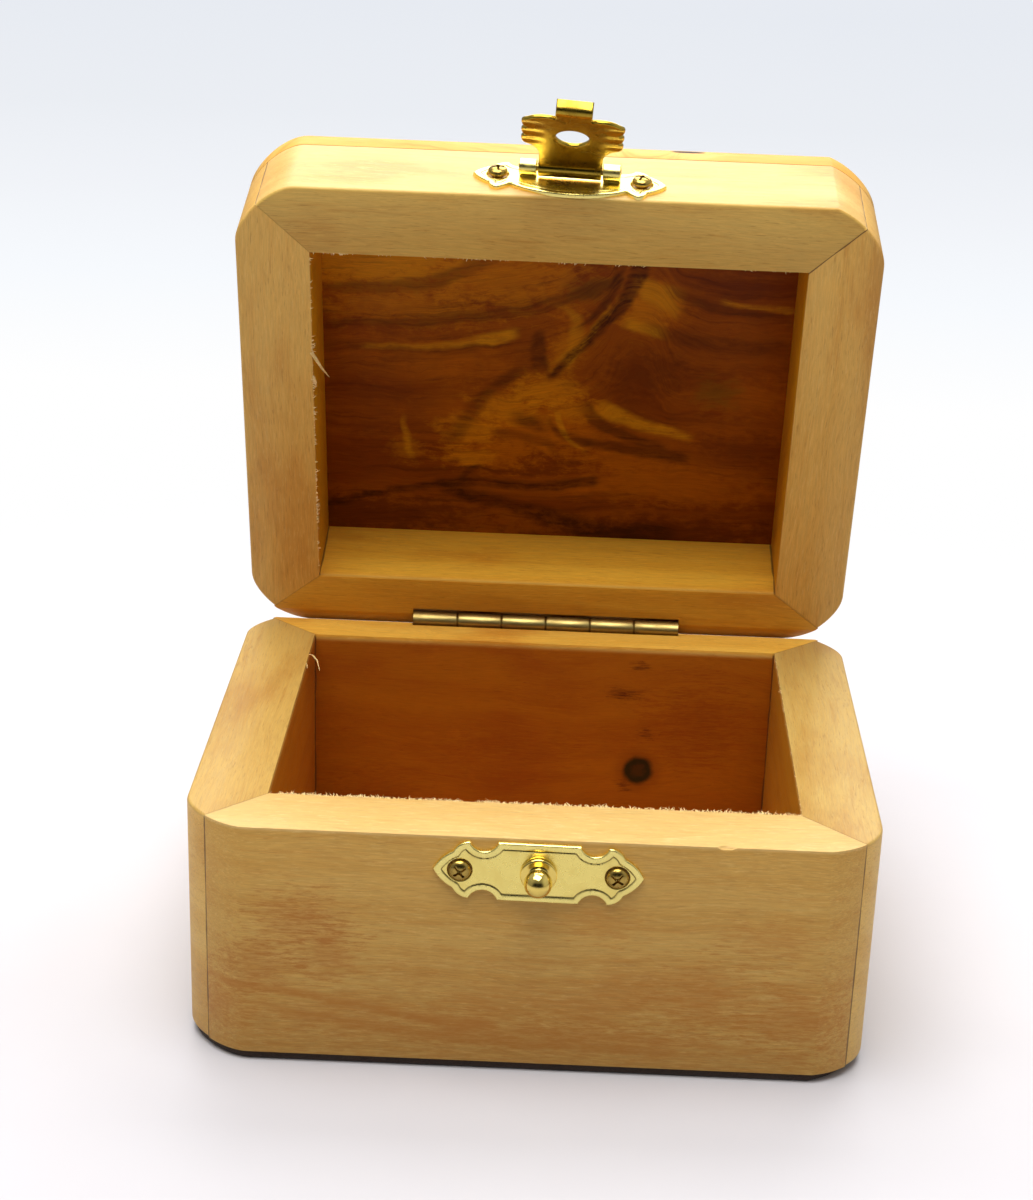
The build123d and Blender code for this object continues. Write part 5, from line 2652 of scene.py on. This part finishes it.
@dataclass
class Hinge:
    """The butt hinge, with the edges of its own CAD pieces eased.

    Args:
        studio: What the pieces share.
        metal: Finish of the leaves and the pin.
        screw_metal: Finish of the screws.
        knuckles: Number of knuckles on the pin.
        gap_half: Half of the gap between two of them.
        knuckle_reach: Reach of a knuckle from the pin's axis.
        seam_depth: How far the knuckles are rounded at the seams.
        cut_share: Where a knuckle is cut to move its end, in halves of the gap.
        seam_share: How far round a gap's middle that end reaches, in halves of the gap.
        closed_share: How far it moves, in halves of the gap.
        skin_share: What lies further out than this share of the reach is rounded.
    """

    studio: Studio
    metal: Material
    screw_metal: Material
    knuckles: int = 6
    gap_half: float = 0.25
    knuckle_reach: float = 1.7
    seam_depth: float = 0.15
    cut_share: float = 1.25
    seam_share: float = 1.1
    closed_share: float = 0.97
    skin_share: float = 0.75

    def close_gaps(self, mesh: Mesh) -> None:
        """Closes the gaps between the knuckles to rounded seams, and marks the seams for a painted dark shade
        line.

        Args:
            mesh: A leaf's mesh, which it changes.
        """
        sizes = self.studio.sizes
        half = sizes.leaf_half_length
        pitch = 2 * half / self.knuckles
        made = bmesh.new()
        made.from_mesh(mesh)
        stamp = made.verts.layers.float_vector.new(GROOVE_SHADE_AND_SINK)
        for index in range(1, self.knuckles):
            for side in (-1, 1):
                cut = index * pitch - half + side * self.cut_share * self.gap_half
                everything = made.verts[:] + made.edges[:] + made.faces[:]
                bmesh.ops.bisect_plane(made, geom=everything, plane_co=(cut, 0, 0), plane_no=(1, 0, 0))
        for vertex in made.verts:
            nearest = round((vertex.co.x + half) / pitch)
            offset = vertex.co.x + half - nearest * pitch
            outward = Vector((0, vertex.co.y - sizes.hinge_y, vertex.co.z - sizes.hinge_z))
            at_seam = 0 < nearest < self.knuckles and abs(offset) < self.seam_share * self.gap_half
            if at_seam and outward.length < self.knuckle_reach:
                vertex.co.x -= math.copysign(self.closed_share * self.gap_half, offset)
                if outward.length > self.skin_share * self.knuckle_reach:
                    vertex.co -= outward.normalized() * self.seam_depth
                # The seam is marked for painted shade, which darkens it like the gap that it closes.
                vertex[stamp] = (1, 0, 0)
        made.to_mesh(mesh)
        made.free()

    def build(self) -> None:
        """Makes the hinge's pieces."""
        pieces = (("hinge_leaf_base", "base", self.metal, "hinge_brass", 0.2),
                  ("hinge_leaf_lid", "lid", self.metal, "hinge_brass", 0.2),
                  ("hinge_pin", "base", self.metal, "hinge_brass", 0.12),
                  ("hinge_screws_base", "base", self.screw_metal, "screw_brass", 0.06),
                  ("hinge_screws_lid", "lid", self.screw_metal, "screw_brass", 0.06))
        for name, body, metal, slot, width in pieces:
            mesh = bpy.data.objects[name].data.copy()
            mesh.transform(self.studio.shut.matrix(body).inverted())
            mesh = eased(mesh, lambda a, b: width, width, 2, 30.0)
            if "leaf" in name:
                self.close_gaps(mesh)
            self.studio.metal(name, mesh, body, metal, slot, 35.0)


# ---- Stage ----


@dataclass(frozen=True)
class CameraView:
    """The camera, with its place in metres and its turn in radians.

    Args:
        place: Where it stands.
        turn: Its rotation about X, Y and Z.
        focal_pixels: Focal length in pixels of the image.
        centre: Where its axis meets the image, in pixels.
        image: Width and height of the image in pixels.
    """

    place: Triple = (0.00263, -0.30239, 0.17224)
    turn: Triple = (1.1764, -0.0369, 0.0209)
    focal_pixels: float = 2370.7
    centre: Point = (550.0, 640.0)
    image: Point = (1033.0, 1200.0)

    def build(self) -> None:
        """Makes the camera and makes it the scene's."""
        width, height = self.image
        data = bpy.data.cameras.new("camera")
        data.sensor_fit = "HORIZONTAL"
        data.sensor_width = 36.0
        data.lens = self.focal_pixels / width * data.sensor_width
        data.shift_x = (width / 2 - self.centre[0]) / width
        data.shift_y = (self.centre[1] - height / 2) / width
        data.clip_start = 0.01
        data.clip_end = 50.0
        camera = add_object("camera", data)
        camera.location = self.place
        camera.rotation_euler = self.turn
        bpy.context.scene.camera = camera


@dataclass(frozen=True)
class Lamp:
    """A soft rectangular lamp turned to the box.

    Args:
        name: Its name.
        power: Its power in watts.
        place: Where it hangs, in metres.
        size: Its width and depth in metres.
        aim: The point that it is turned to.
    """

    name: str
    power: float
    place: Triple
    size: Point
    aim: Triple = (0, 0, 0.04)

    def build(self) -> Thing:
        """Makes the lamp.

        Returns:
            The lamp.
        """
        lamp = bpy.data.lights.new(self.name, "AREA")
        lamp.shape = "RECTANGLE"
        lamp.size, lamp.size_y = self.size
        lamp.energy = self.power
        thing = add_object(self.name, lamp)
        thing.location = self.place
        thing.rotation_euler = (Vector(self.aim) - thing.location).to_track_quat("-Z", "Y").to_euler()
        return thing


@dataclass(frozen=True)
class LightTent:
    """A white tent: bright above, dim at the camera's side, over a pale floor that fades into the backdrop.

    Args:
        front: Light from the camera's side.
        top: Light added from above.
        side: Light added from the sides.
        right: Light added from the right alone.
        back: Light added from behind.
        dark: Share of light left in the low band behind the camera.
        lamps: The soft lamps over the box.
        bounce: Share of light that the floor gives back to the box.
    """

    front: float = 0.03
    top: float = 0.28
    side: float = 0.27
    right: float = 0.22
    back: float = 0.25
    dark: float = 0.3
    lamps: tuple[Lamp, ...] = (
        Lamp("key", 3.75, (-0.06, -0.10, 0.56), (0.5, 0.4)),
        Lamp("rear", 3.0, (0.02, 0.36, 0.46), (0.5, 0.4)),
    )
    bounce: float = 0.67

    def build(self) -> None:
        """Makes the world, the lamps and the floor."""
        self.world()
        self.floor()
        [lamp.build() for lamp in self.lamps]

    def world(self) -> None:
        """Makes the light all round."""
        world = bpy.data.worlds.new("tent")
        bpy.context.scene.world = world
        world.use_nodes = True
        g = Graph(world.node_tree)
        x, y, z = g.split(g.out("ShaderNodeTexCoord", "Generated"))
        total = g.plus(self.front, g.times(g.step(z, 0.25, 0.95), self.top))
        total = g.plus(total, g.times(g.step(g.size(x), 0.3, 0.9), self.side))
        total = g.plus(total, g.times(g.step(x, 0.4, 0.9), self.right))
        total = g.plus(total, g.times(g.step(y, 0.0, 0.8), self.back))
        band = g.times(g.step(y, -0.55, -0.85), g.step(z, 0.62, 0.38))
        total = g.times(total, g.step(band, 0.0, 1.0, 1.0, self.dark))
        seen = g.out("ShaderNodeLightPath", "Is Camera Ray")
        colour = g.blend(seen, (0.97, 0.98, 1.0, 1), (0.95, 0.965, 0.99, 1))
        g.fill(g.first("BACKGROUND"), Color=colour, Strength=g.math("MAXIMUM", total, seen))

    def floor(self) -> Thing:
        """Makes the floor. Far from the box the camera sees a glowing backdrop instead of its shading,
        painted with light that falls off: white near the box, grey-blue far away.

        Returns:
            The floor.
        """
        mesh = mesh_from(lambda made: bmesh.ops.create_grid(made, x_segments=8, y_segments=8, size=6.0))
        floor = add_object("floor", mesh)
        material, g, shader = new_material("pale_floor")
        place = g.out("ShaderNodeTexCoord", "Object")
        grain = g.noise(place, (40, 40, 40), 4)
        seen = g.out("ShaderNodeLightPath", "Is Camera Ray")
        tone = g.blend(grain, (0.585, 0.565, 0.58, 1), (0.615, 0.595, 0.61, 1))
        dim = g.scaled(tone, self.bounce * 1.13)
        finish_shader(g, shader, g.blend(seen, dim, tone), 0.9, grain, 0.1, 0.2)
        g.fill(shader, Specular_IOR_Level=0.1)
        x, y, _ = g.split(place)
        # Painted light: the backdrop's glow fades from white near the box to grey-blue far away, standing in
        # for the light falling off across the floor.
        tone = g.node("ShaderNodeValToRGB")
        stops = (
            (0.0, (1.0, 1.0, 1.0, 1)), (0.16, (0.93, 0.955, 0.99, 1)), (0.33, (0.88, 0.90, 0.94, 1)),
            (0.55, (0.83, 0.855, 0.90, 1)), (1.0, (0.80, 0.83, 0.885, 1)),
        )
        for position, colour in stops[1:-1]:
            tone.color_ramp.elements.new(position).color = colour
        tone.color_ramp.elements[0].color, tone.color_ramp.elements[-1].color = stops[0][1], stops[-1][1]
        g.feed(tone.inputs[0], g.math("MULTIPLY_ADD", y, 1 / 0.7, -0.27 / 0.7))
        glow = g.fill(g.node("ShaderNodeEmission"), Color=tone.outputs["Color"])
        distance = g.vector("LENGTH", g.join(x, g.minus(y, -0.02), 0.0))
        far = g.times(g.step(distance, 0.10, 0.22), seen)
        mixed = g.node("ShaderNodeMixShader")
        g.feed(mixed.inputs[0], far)
        g.feed(mixed.inputs[1], shader.outputs[0])
        g.feed(mixed.inputs[2], glow.outputs[0])
        g.fill(g.first("OUTPUT_MATERIAL"), Surface=mixed.outputs[0])
        mesh.materials.append(material)
        return floor


# ---- The box ----

SOFT_CORNER = CornerCurve()
CRISP_CORNER = CornerCurve(side=8.4, side_handle=3.6, end=7.3, end_handle=4, lift=0.7)
CRISP_LID_CORNER = CornerCurve(side=8.8, side_handle=4.6, end=7.3, end_handle=4.6, lift=1)

GOLD: Colour = (0.48, 0.165, 0.006, 1)
OCHRE: Colour = (0.70, 0.335, 0.055, 1)
HONEY: Colour = (0.58, 0.25, 0.022, 1)
UMBER: Colour = (0.14, 0.030, 0.0015, 1)
BURL = BurlFinish(
    "lid_panel_burl", Grain.PANEL, 3.7,
    light=(0.74, 0.42, 0.10, 1), ring=(0.37, 0.115, 0.004, 1), stain=(0.22, 0.055, 0.002, 1),
    pore=(0.055, 0.012, 0.001, 1), gloss=0.12, knots=(Knot((17.6, FRONT_FACE, 51.3), (0.42, 0.5, 2.6), 1),),
    bend=((0, 0), (0.2, 0.04), (0.4, 0.16), (0.5, 0.34), (0.58, 0.7), (0.63, 0.98), (0.7, 0.62), (0.8, 0.5),
          (1, 0.5)),
    areas=(
        flat_spot(-27, -19.5, 20, 8, OCHRE, 1), flat_spot(-8, -16.5, 16, 6.5, HONEY, 0.85),
        flat_spot(-24, -11.5, 19, 4.2, HONEY, 0.8), flat_spot(-22, -3, 17, 5.2, GOLD, 0.75),
        flat_spot(-28, -18, 14, 4, PALE_WOOD, 0.5), flat_spot(-3, 7.5, 15, 7.5, GOLD, 0.95),
        flat_spot(-10, 13, 10, 4, GOLD, 0.85), flat_spot(20, 17, 20, 5, GOLD, 0.65),
        flat_spot(14, -13, 6.5, 6, GOLD, 0.85), flat_spot(2, -7, 5, 5, GOLD, 0.7),
        flat_spot(29, -6, 9, 7, GOLD, 0.35), flat_spot(29, 2, 8, 4.5, GOLD, 0.6),
        flat_spot(12, 13, 14, 3, GOLD, 0.6),
        flat_spot(24.5, 1, 4, 3, (0.2, 0.14, 0.07, 1), 0.5),
        flat_spot(5, -15.5, 5, 2.5, (0.17, 0.085, 0.055, 1), 0.6),
        flat_spot(-28, 5, 12, 9, UMBER, 0.4), flat_spot(-30, 25, 22, 5, UMBER, 0.8),
        flat_spot(13, -1.5, 9, 5.5, UMBER, 0.6), flat_spot(30, 11, 12, 4, UMBER, 0.6),
        flat_spot(18, 26.5, 26, 4, UMBER, 0.85), flat_spot(26, -17, 10, 3, UMBER, 0.4),
        flat_spot(-1, 1.5, 6.5, 3.6, OCHRE, 0.7), flat_spot(-7, 5, 6.5, 3.6, OCHRE, 0.65),
        flat_spot(-12.5, 9, 6, 3.4, OCHRE, 0.6), flat_spot(-13, 14, 5, 2, OCHRE, 0.5),
        flat_spot(3.5, 5, 5, 2.6, OCHRE, 0.5), flat_spot(13, -12.5, 4.5, 4.5, OCHRE, 0.5),
        flat_spot(1.5, -5, 3, 4, OCHRE, 0.4), flat_spot(-22.5, 13, 3, 3, OCHRE, 0.35),
    ),
    dark=(
        Streak(((-35, -13.5), (-25.5, -14.6), (-18.1, -16.1), (-13.2, -18.5), (-9, -21)),
               (0.1, 0.9), 1.3, 0.6),
        Streak(((-35, -7.6), (-23.1, -8.8), (-13.1, -9.9), (-4.2, -11.8), (4.7, -14.9),
               (9.4, -18.4)), (0.1, 0.5), 1.1, 0.6),
        Streak(((12.6, -21), (9.7, -14.1), (6.4, -9.5), (1.6, -3), (-0.8, 0)), (1, 0.1), 1.1, 1, True),
        Streak(((9.4, -20.5), (6.9, -13.6), (3.2, -9)), (0.35, 0.1), 0.9, 0.75, True),
        Streak(((-3, -8), (-2.6, -5), (-2.1, -1.5)), (0.2, 0.9), 1.2, 0.85, True),
        Streak(((-4.4, -2.5), (-9.9, 2.8), (-13.9, 8.2), (-16.6, 11.5)), (0.4, 0.1), 2.2, 0.7, True),
        Streak(((-6.2, 6.2), (-1.6, 7.9)), (0.4, 0.3), 1.3, 0.8),
        Streak(((-9, 9.5), (-4, 10), (0.5, 12)), (0.2, 0.3), 1.2, 0.6),
        Streak(((-0.6, 7.4), (2.6, 9.8), (7, 10.9), (13, 11.7), (20.9, 13.2)), (0.2, 0.4), 1.2, 0.85),
        Streak(((4.4, 4.6), (8, 7.6), (12, 9.4), (17, 10.6)), (0.7, 0.2), 1.2, 0.8),
        Streak(((-35, 23), (-23.3, 20.5), (-17, 19), (-9.6, 18.6), (-0.2, 18.4), (7, 17.4)),
               (0.15, 0.4), 1, 0.9),
        Streak(((-17.4, 19.2), (-7.5, 22.5), (0.5, 24.6), (8.5, 26.4), (19.1, 26.8)), (0.2, 0.9), 1.7, 0.95),
        Streak(((-13.8, 17.9), (-11.2, 15.9)), (0.4, 0.2), 0.8, 0.9),
        Streak(((-35, -4.5), (-24, -4.2), (-12, -4.6)), (0.2, 0.1), 1.4, 0.5),
        Streak(((13, -9.5), (22, -7.6), (34, -6.8)), (0.2, 0.5), 1.6, 0.5),
        Streak(((16, -15.5), (24, -12.8), (34, -11.4)), (0.3, 0.1), 1.1, 0.5),
    ),
    pale=(
        Streak(((11.5, -16.4), (17.5, -13.4)), (0.8, 1.5), 1.6, 0.75),
        Streak(((9.9, -10.2), (15.9, -8.4)), (0.4, 0.3), 1.1, 0.8),
        Streak(((-29.2, -4.1), (-16, -5.4), (-10, -6.2), (-6, -7.4)), (0, 0.4), 0.8, 0.6),
        Streak(((-12, -6), (-6.4, -7.2)), (0.2, 0.5), 0.9, 0.6),
        Streak(((-22.9, 7.5), (-21.5, 14)), (0.05, 0.15), 0.7, 0.55, True),
        Streak(((6.8, 4.6), (13.8, 6.9), (20.6, 9)), (0.6, 0.1), 1.2, 0.75),
        Streak(((0.5, 5.4), (2, 9.5), (4.6, 12)), (0.25, 0.1), 0.6, 0.55, True),
        Streak(((0.6, -12), (3, -8), (0, -3)), (0.4, 0.3), 1.3, 0.5, True),
        Streak(((7.6, -12.5), (4.6, -7.6), (2, -2.5)), (0.2, 0.2), 0.7, 0.6, True),
        Streak(((24.1, -13.9), (34.6, -12.6)), (0.1, 0.25), 0.6, 0.6),
    ),
)

# The paler wood of the side boards, in the next two colours, is painted light: it stands in for the side
# light on their corner faces.
SIDE_LIT_WOOD: Colour = (0.81, 0.50, 0.13, 1)
SIDE_LIT_RING: Colour = (0.72, 0.39, 0.075, 1)
ORANGE: Colour = (0.52, 0.19, 0.018, 1)
RUSSET: Colour = (0.46, 0.155, 0.016, 1)
KNOT_STAIN: Colour = (0.17, 0.04, 0.012, 1)
# Each board's rim tint is painted light and shade: a whitened front rim as a painted sheen, darker side rims
# and lid back rim, a brighter base back rim.
BASE_FINISHES = {
    Side.FRONT: WoodFinish(
        "base_front_wood", Grain.ALONG_X, 1, shares=(0.55, 0.5, 0.3), light=(0.665, 0.385, 0.088, 1),
        ring=(0.58, 0.288, 0.045, 1), painted_rim_light=(1.1, 1.25, 1.85, 1),
        spots=(
            front_spot(-29.5, 21, 7.5, 5.5, RUSSET, 0.75),
            front_spot(-35.5, 14.5, 5.5, 4.5, RUSSET, 0.65),
            front_spot(-26, 16.5, 5, 5, RUSSET, 0.5),
            front_spot(-40, 8, 7, 4, ORANGE, 0.5),
            front_spot(22, 12, 8, 6, ORANGE, 0.55), front_spot(35, 9.5, 9, 6, ORANGE, 0.7),
            front_spot(31, 21, 8, 3.5, ORANGE, 0.45),
            front_spot(9, 22.5, 6, 3.5, ORANGE, 0.45), front_spot(0, 6, 28, 3.2, ORANGE, 0.55),
            # This broad patch on the bottom edge darkens the lower front: painted contact shade.
            front_spot(0, 0, 75, 17, ORANGE, 0.45),
        ),
        streaks=(
            Streak(((-42, 11.6), (-33, 11), (-24, 9.4), (-14, 7.6), (-4, 7)), (0.15, 0.3), 0.8, 0.8),
            Streak(((-36, 8.4), (-24, 6.6), (-10, 4.8), (6, 4.2), (20, 3.6)), (0.2, 0.3), 1, 0.6),
            Streak(((-12, 6.2), (2, 6), (16, 5.6), (30, 4.2)), (0.1, 0.2), 0.7, 0.5),
        ),
    ),
    Side.RIGHT: WoodFinish("base_right_wood", Grain.ALONG_Y, 2.3, cavity_light_and_shade=(0.60, 0.40, 0.07, 1),
                           light=SIDE_LIT_WOOD, ring=SIDE_LIT_RING, painted_rim_light=(0.69, 0.72, 0.75, 1)),
    Side.BACK: WoodFinish(
        "base_back_wood", Grain.ALONG_X, 5.1, wave=11, ring_width=5, shares=(1, 0.85, 0.3),
        cavity_light_and_shade=(0.50, 0.225, 0.012, 1), painted_rim_light=(1.15, 1.1, 0.7, 1),
        knots=(Knot((15.1, BACK_FACE, 13.8), (1, 0.3, 1), 2.3),),
        spots=(
            back_spot(12.3, 26.6, 3.2, 1.3, KNOT_STAIN, 0.75),
            back_spot(12.3, 26.6, 1.4, 0.8, KNOT_STAIN, 1),
            back_spot(13, 11.2, 1.5, 1, KNOT_STAIN, 0.8),
            back_spot(16.1, 19.9, 1.9, 1.1, KNOT_STAIN, 1),
            back_spot(14.8, 31.2, 1.6, 0.9, KNOT_STAIN, 0.8),
            back_spot(-16, 24, 14, 4, PALE_WOOD, 0.35),
            back_spot(-4, 17, 12, 3.5, RUSSET, 0.5), back_spot(24, 22, 9, 9, RUSSET, 0.6),
            back_spot(6, 29, 12, 3, PALE_WOOD, 0.3),
            back_spot(-24, 10, 9, 4, RUSSET, 0.4),
        ),
    ),
    Side.LEFT: WoodFinish("base_left_wood", Grain.ALONG_Y, 7.9, cavity_light_and_shade=(0.58, 0.31, 0.03, 1),
                          light=SIDE_LIT_WOOD, ring=SIDE_LIT_RING, painted_rim_light=(0.7, 0.7, 0.66, 1)),
}
LID_FINISHES = {
    Side.FRONT: WoodFinish("lid_front_wood", Grain.ALONG_X, 11.4, front_mitre=0.12,
                           light=(0.745, 0.47, 0.145, 1), ring=(0.66, 0.36, 0.085, 1),
                           painted_rim_light=(0.93, 0.94, 0.7, 1),
                           knots=(Knot((17.6, FRONT_FACE, 51.6), (0.42, 1, 1.4), 0.8),)),
    Side.RIGHT: WoodFinish("lid_right_wood", Grain.ALONG_Y, 13.2, front_mitre=0.9),
    # The lid's back board: painted light on its face in the lid, and painted shade on its rim.
    Side.BACK: WoodFinish("lid_back_wood", Grain.ALONG_X, 17.7, cavity_light_and_shade=(1.15, 1, 0.36, 1),
                          painted_rim_light=(0.88, 0.72, 0.25, 1)),
    Side.LEFT: WoodFinish("lid_left_wood", Grain.ALONG_Y, 19.3, front_mitre=0.05),
}


CATCH_PLACE = (0.9, -4.6, 0.6)
HASP_PLACE = (1.0, 5.0, 4.5)
PLATE_METAL = MetalFinish("plate_brass", (1.0, 0.85, 0.28, 1), (0.90, 0.68, 0.17, 1), 0.3, 0.24)
KNOB_METAL = MetalFinish("knob_brass", (0.93, 0.70, 0.18, 1), (0.7, 0.46, 0.08, 1), 0.25, 0.09)
# The screws, the tongue and the hinge are darker, duller copies of the brass: painted shade, standing in for
# the dark surroundings they reflect and the shade they sit in.
SCREW_METAL = MetalFinish("screw_brass", (0.50, 0.34, 0.08, 1), (0.10, 0.055, 0.012, 1), 0.95, 0.22)
TONGUE_METAL = MetalFinish("tongue_brass", (0.50, 0.335, 0.04, 1), (0.27, 0.16, 0.018, 1), 0.8, 0.19)
HINGE_METAL = MetalFinish("hinge_brass", (0.50, 0.375, 0.125, 1), (0.34, 0.235, 0.07, 1), 0.8, 0.34)


def build_fittings(studio: Studio) -> None:
    """Builds the catch, the hasp and the hinge.

    Args:
        studio: What the pieces share.
    """
    sizes = studio.sizes
    finishes = (PLATE_METAL, KNOB_METAL, SCREW_METAL, TONGUE_METAL, HINGE_METAL)
    plate, knob, screw, tongue, hinge = (finish.material(studio.effects) for finish in finishes)
    x, rise, tilt = CATCH_PLACE
    face = FaceFrame(x, sizes.base_rim + rise, -sizes.half_depth, tilt)
    Catch(studio, face, plate, screw, knob_metal=knob).build()
    x, rise, tilt = HASP_PLACE
    face = FaceFrame(x, sizes.lid_rim + rise, -sizes.half_depth, tilt)
    Hasp(studio, face, plate, screw, tongue_metal=tongue).build()
    Hinge(studio, hinge, screw).build()


def main() -> None:
    """Builds the box's looks and its stage."""
    logging.basicConfig(level=logging.INFO, format="%(message)s")
    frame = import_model()
    shut = ShutFrame(frame["joints"])
    studio = Studio(shut, read_sizes(shut), Effects())
    sizes = studio.sizes
    base_corners = {
        "front_left": Corner(-1, -1, SOFT_CORNER), "front_right": Corner(1, -1, CRISP_CORNER),
        "back_right": Corner(1, 1, SOFT_CORNER), "back_left": Corner(-1, 1, SOFT_CORNER),
    }
    lid_corners = dict(base_corners, front_right=Corner(1, -1, CRISP_LID_CORNER))
    chip = (24.6, -sizes.half_depth, sizes.base_rim)
    WoodFrame(
        studio, "base", sizes.wood_bottom, sizes.base_rim, sizes.base_rim, base_corners, BASE_FINISHES, chip
    ).build()
    WoodFrame(studio, "lid", sizes.lid_rim, sizes.lid_joint, sizes.lid_rim, lid_corners, LID_FINISHES).build()
    floor_wood = WoodFinish("base_floor_wood", Grain.PANEL, 23.0)
    Panels(studio, lid_corners, BURL, floor_wood).build()
    RoughWood(studio).build()
    build_fittings(studio)
    CameraView().build()
    LightTent().build()
    bpy.context.scene.view_settings.view_transform = "Standard"


if __name__ == "__main__":
    main()
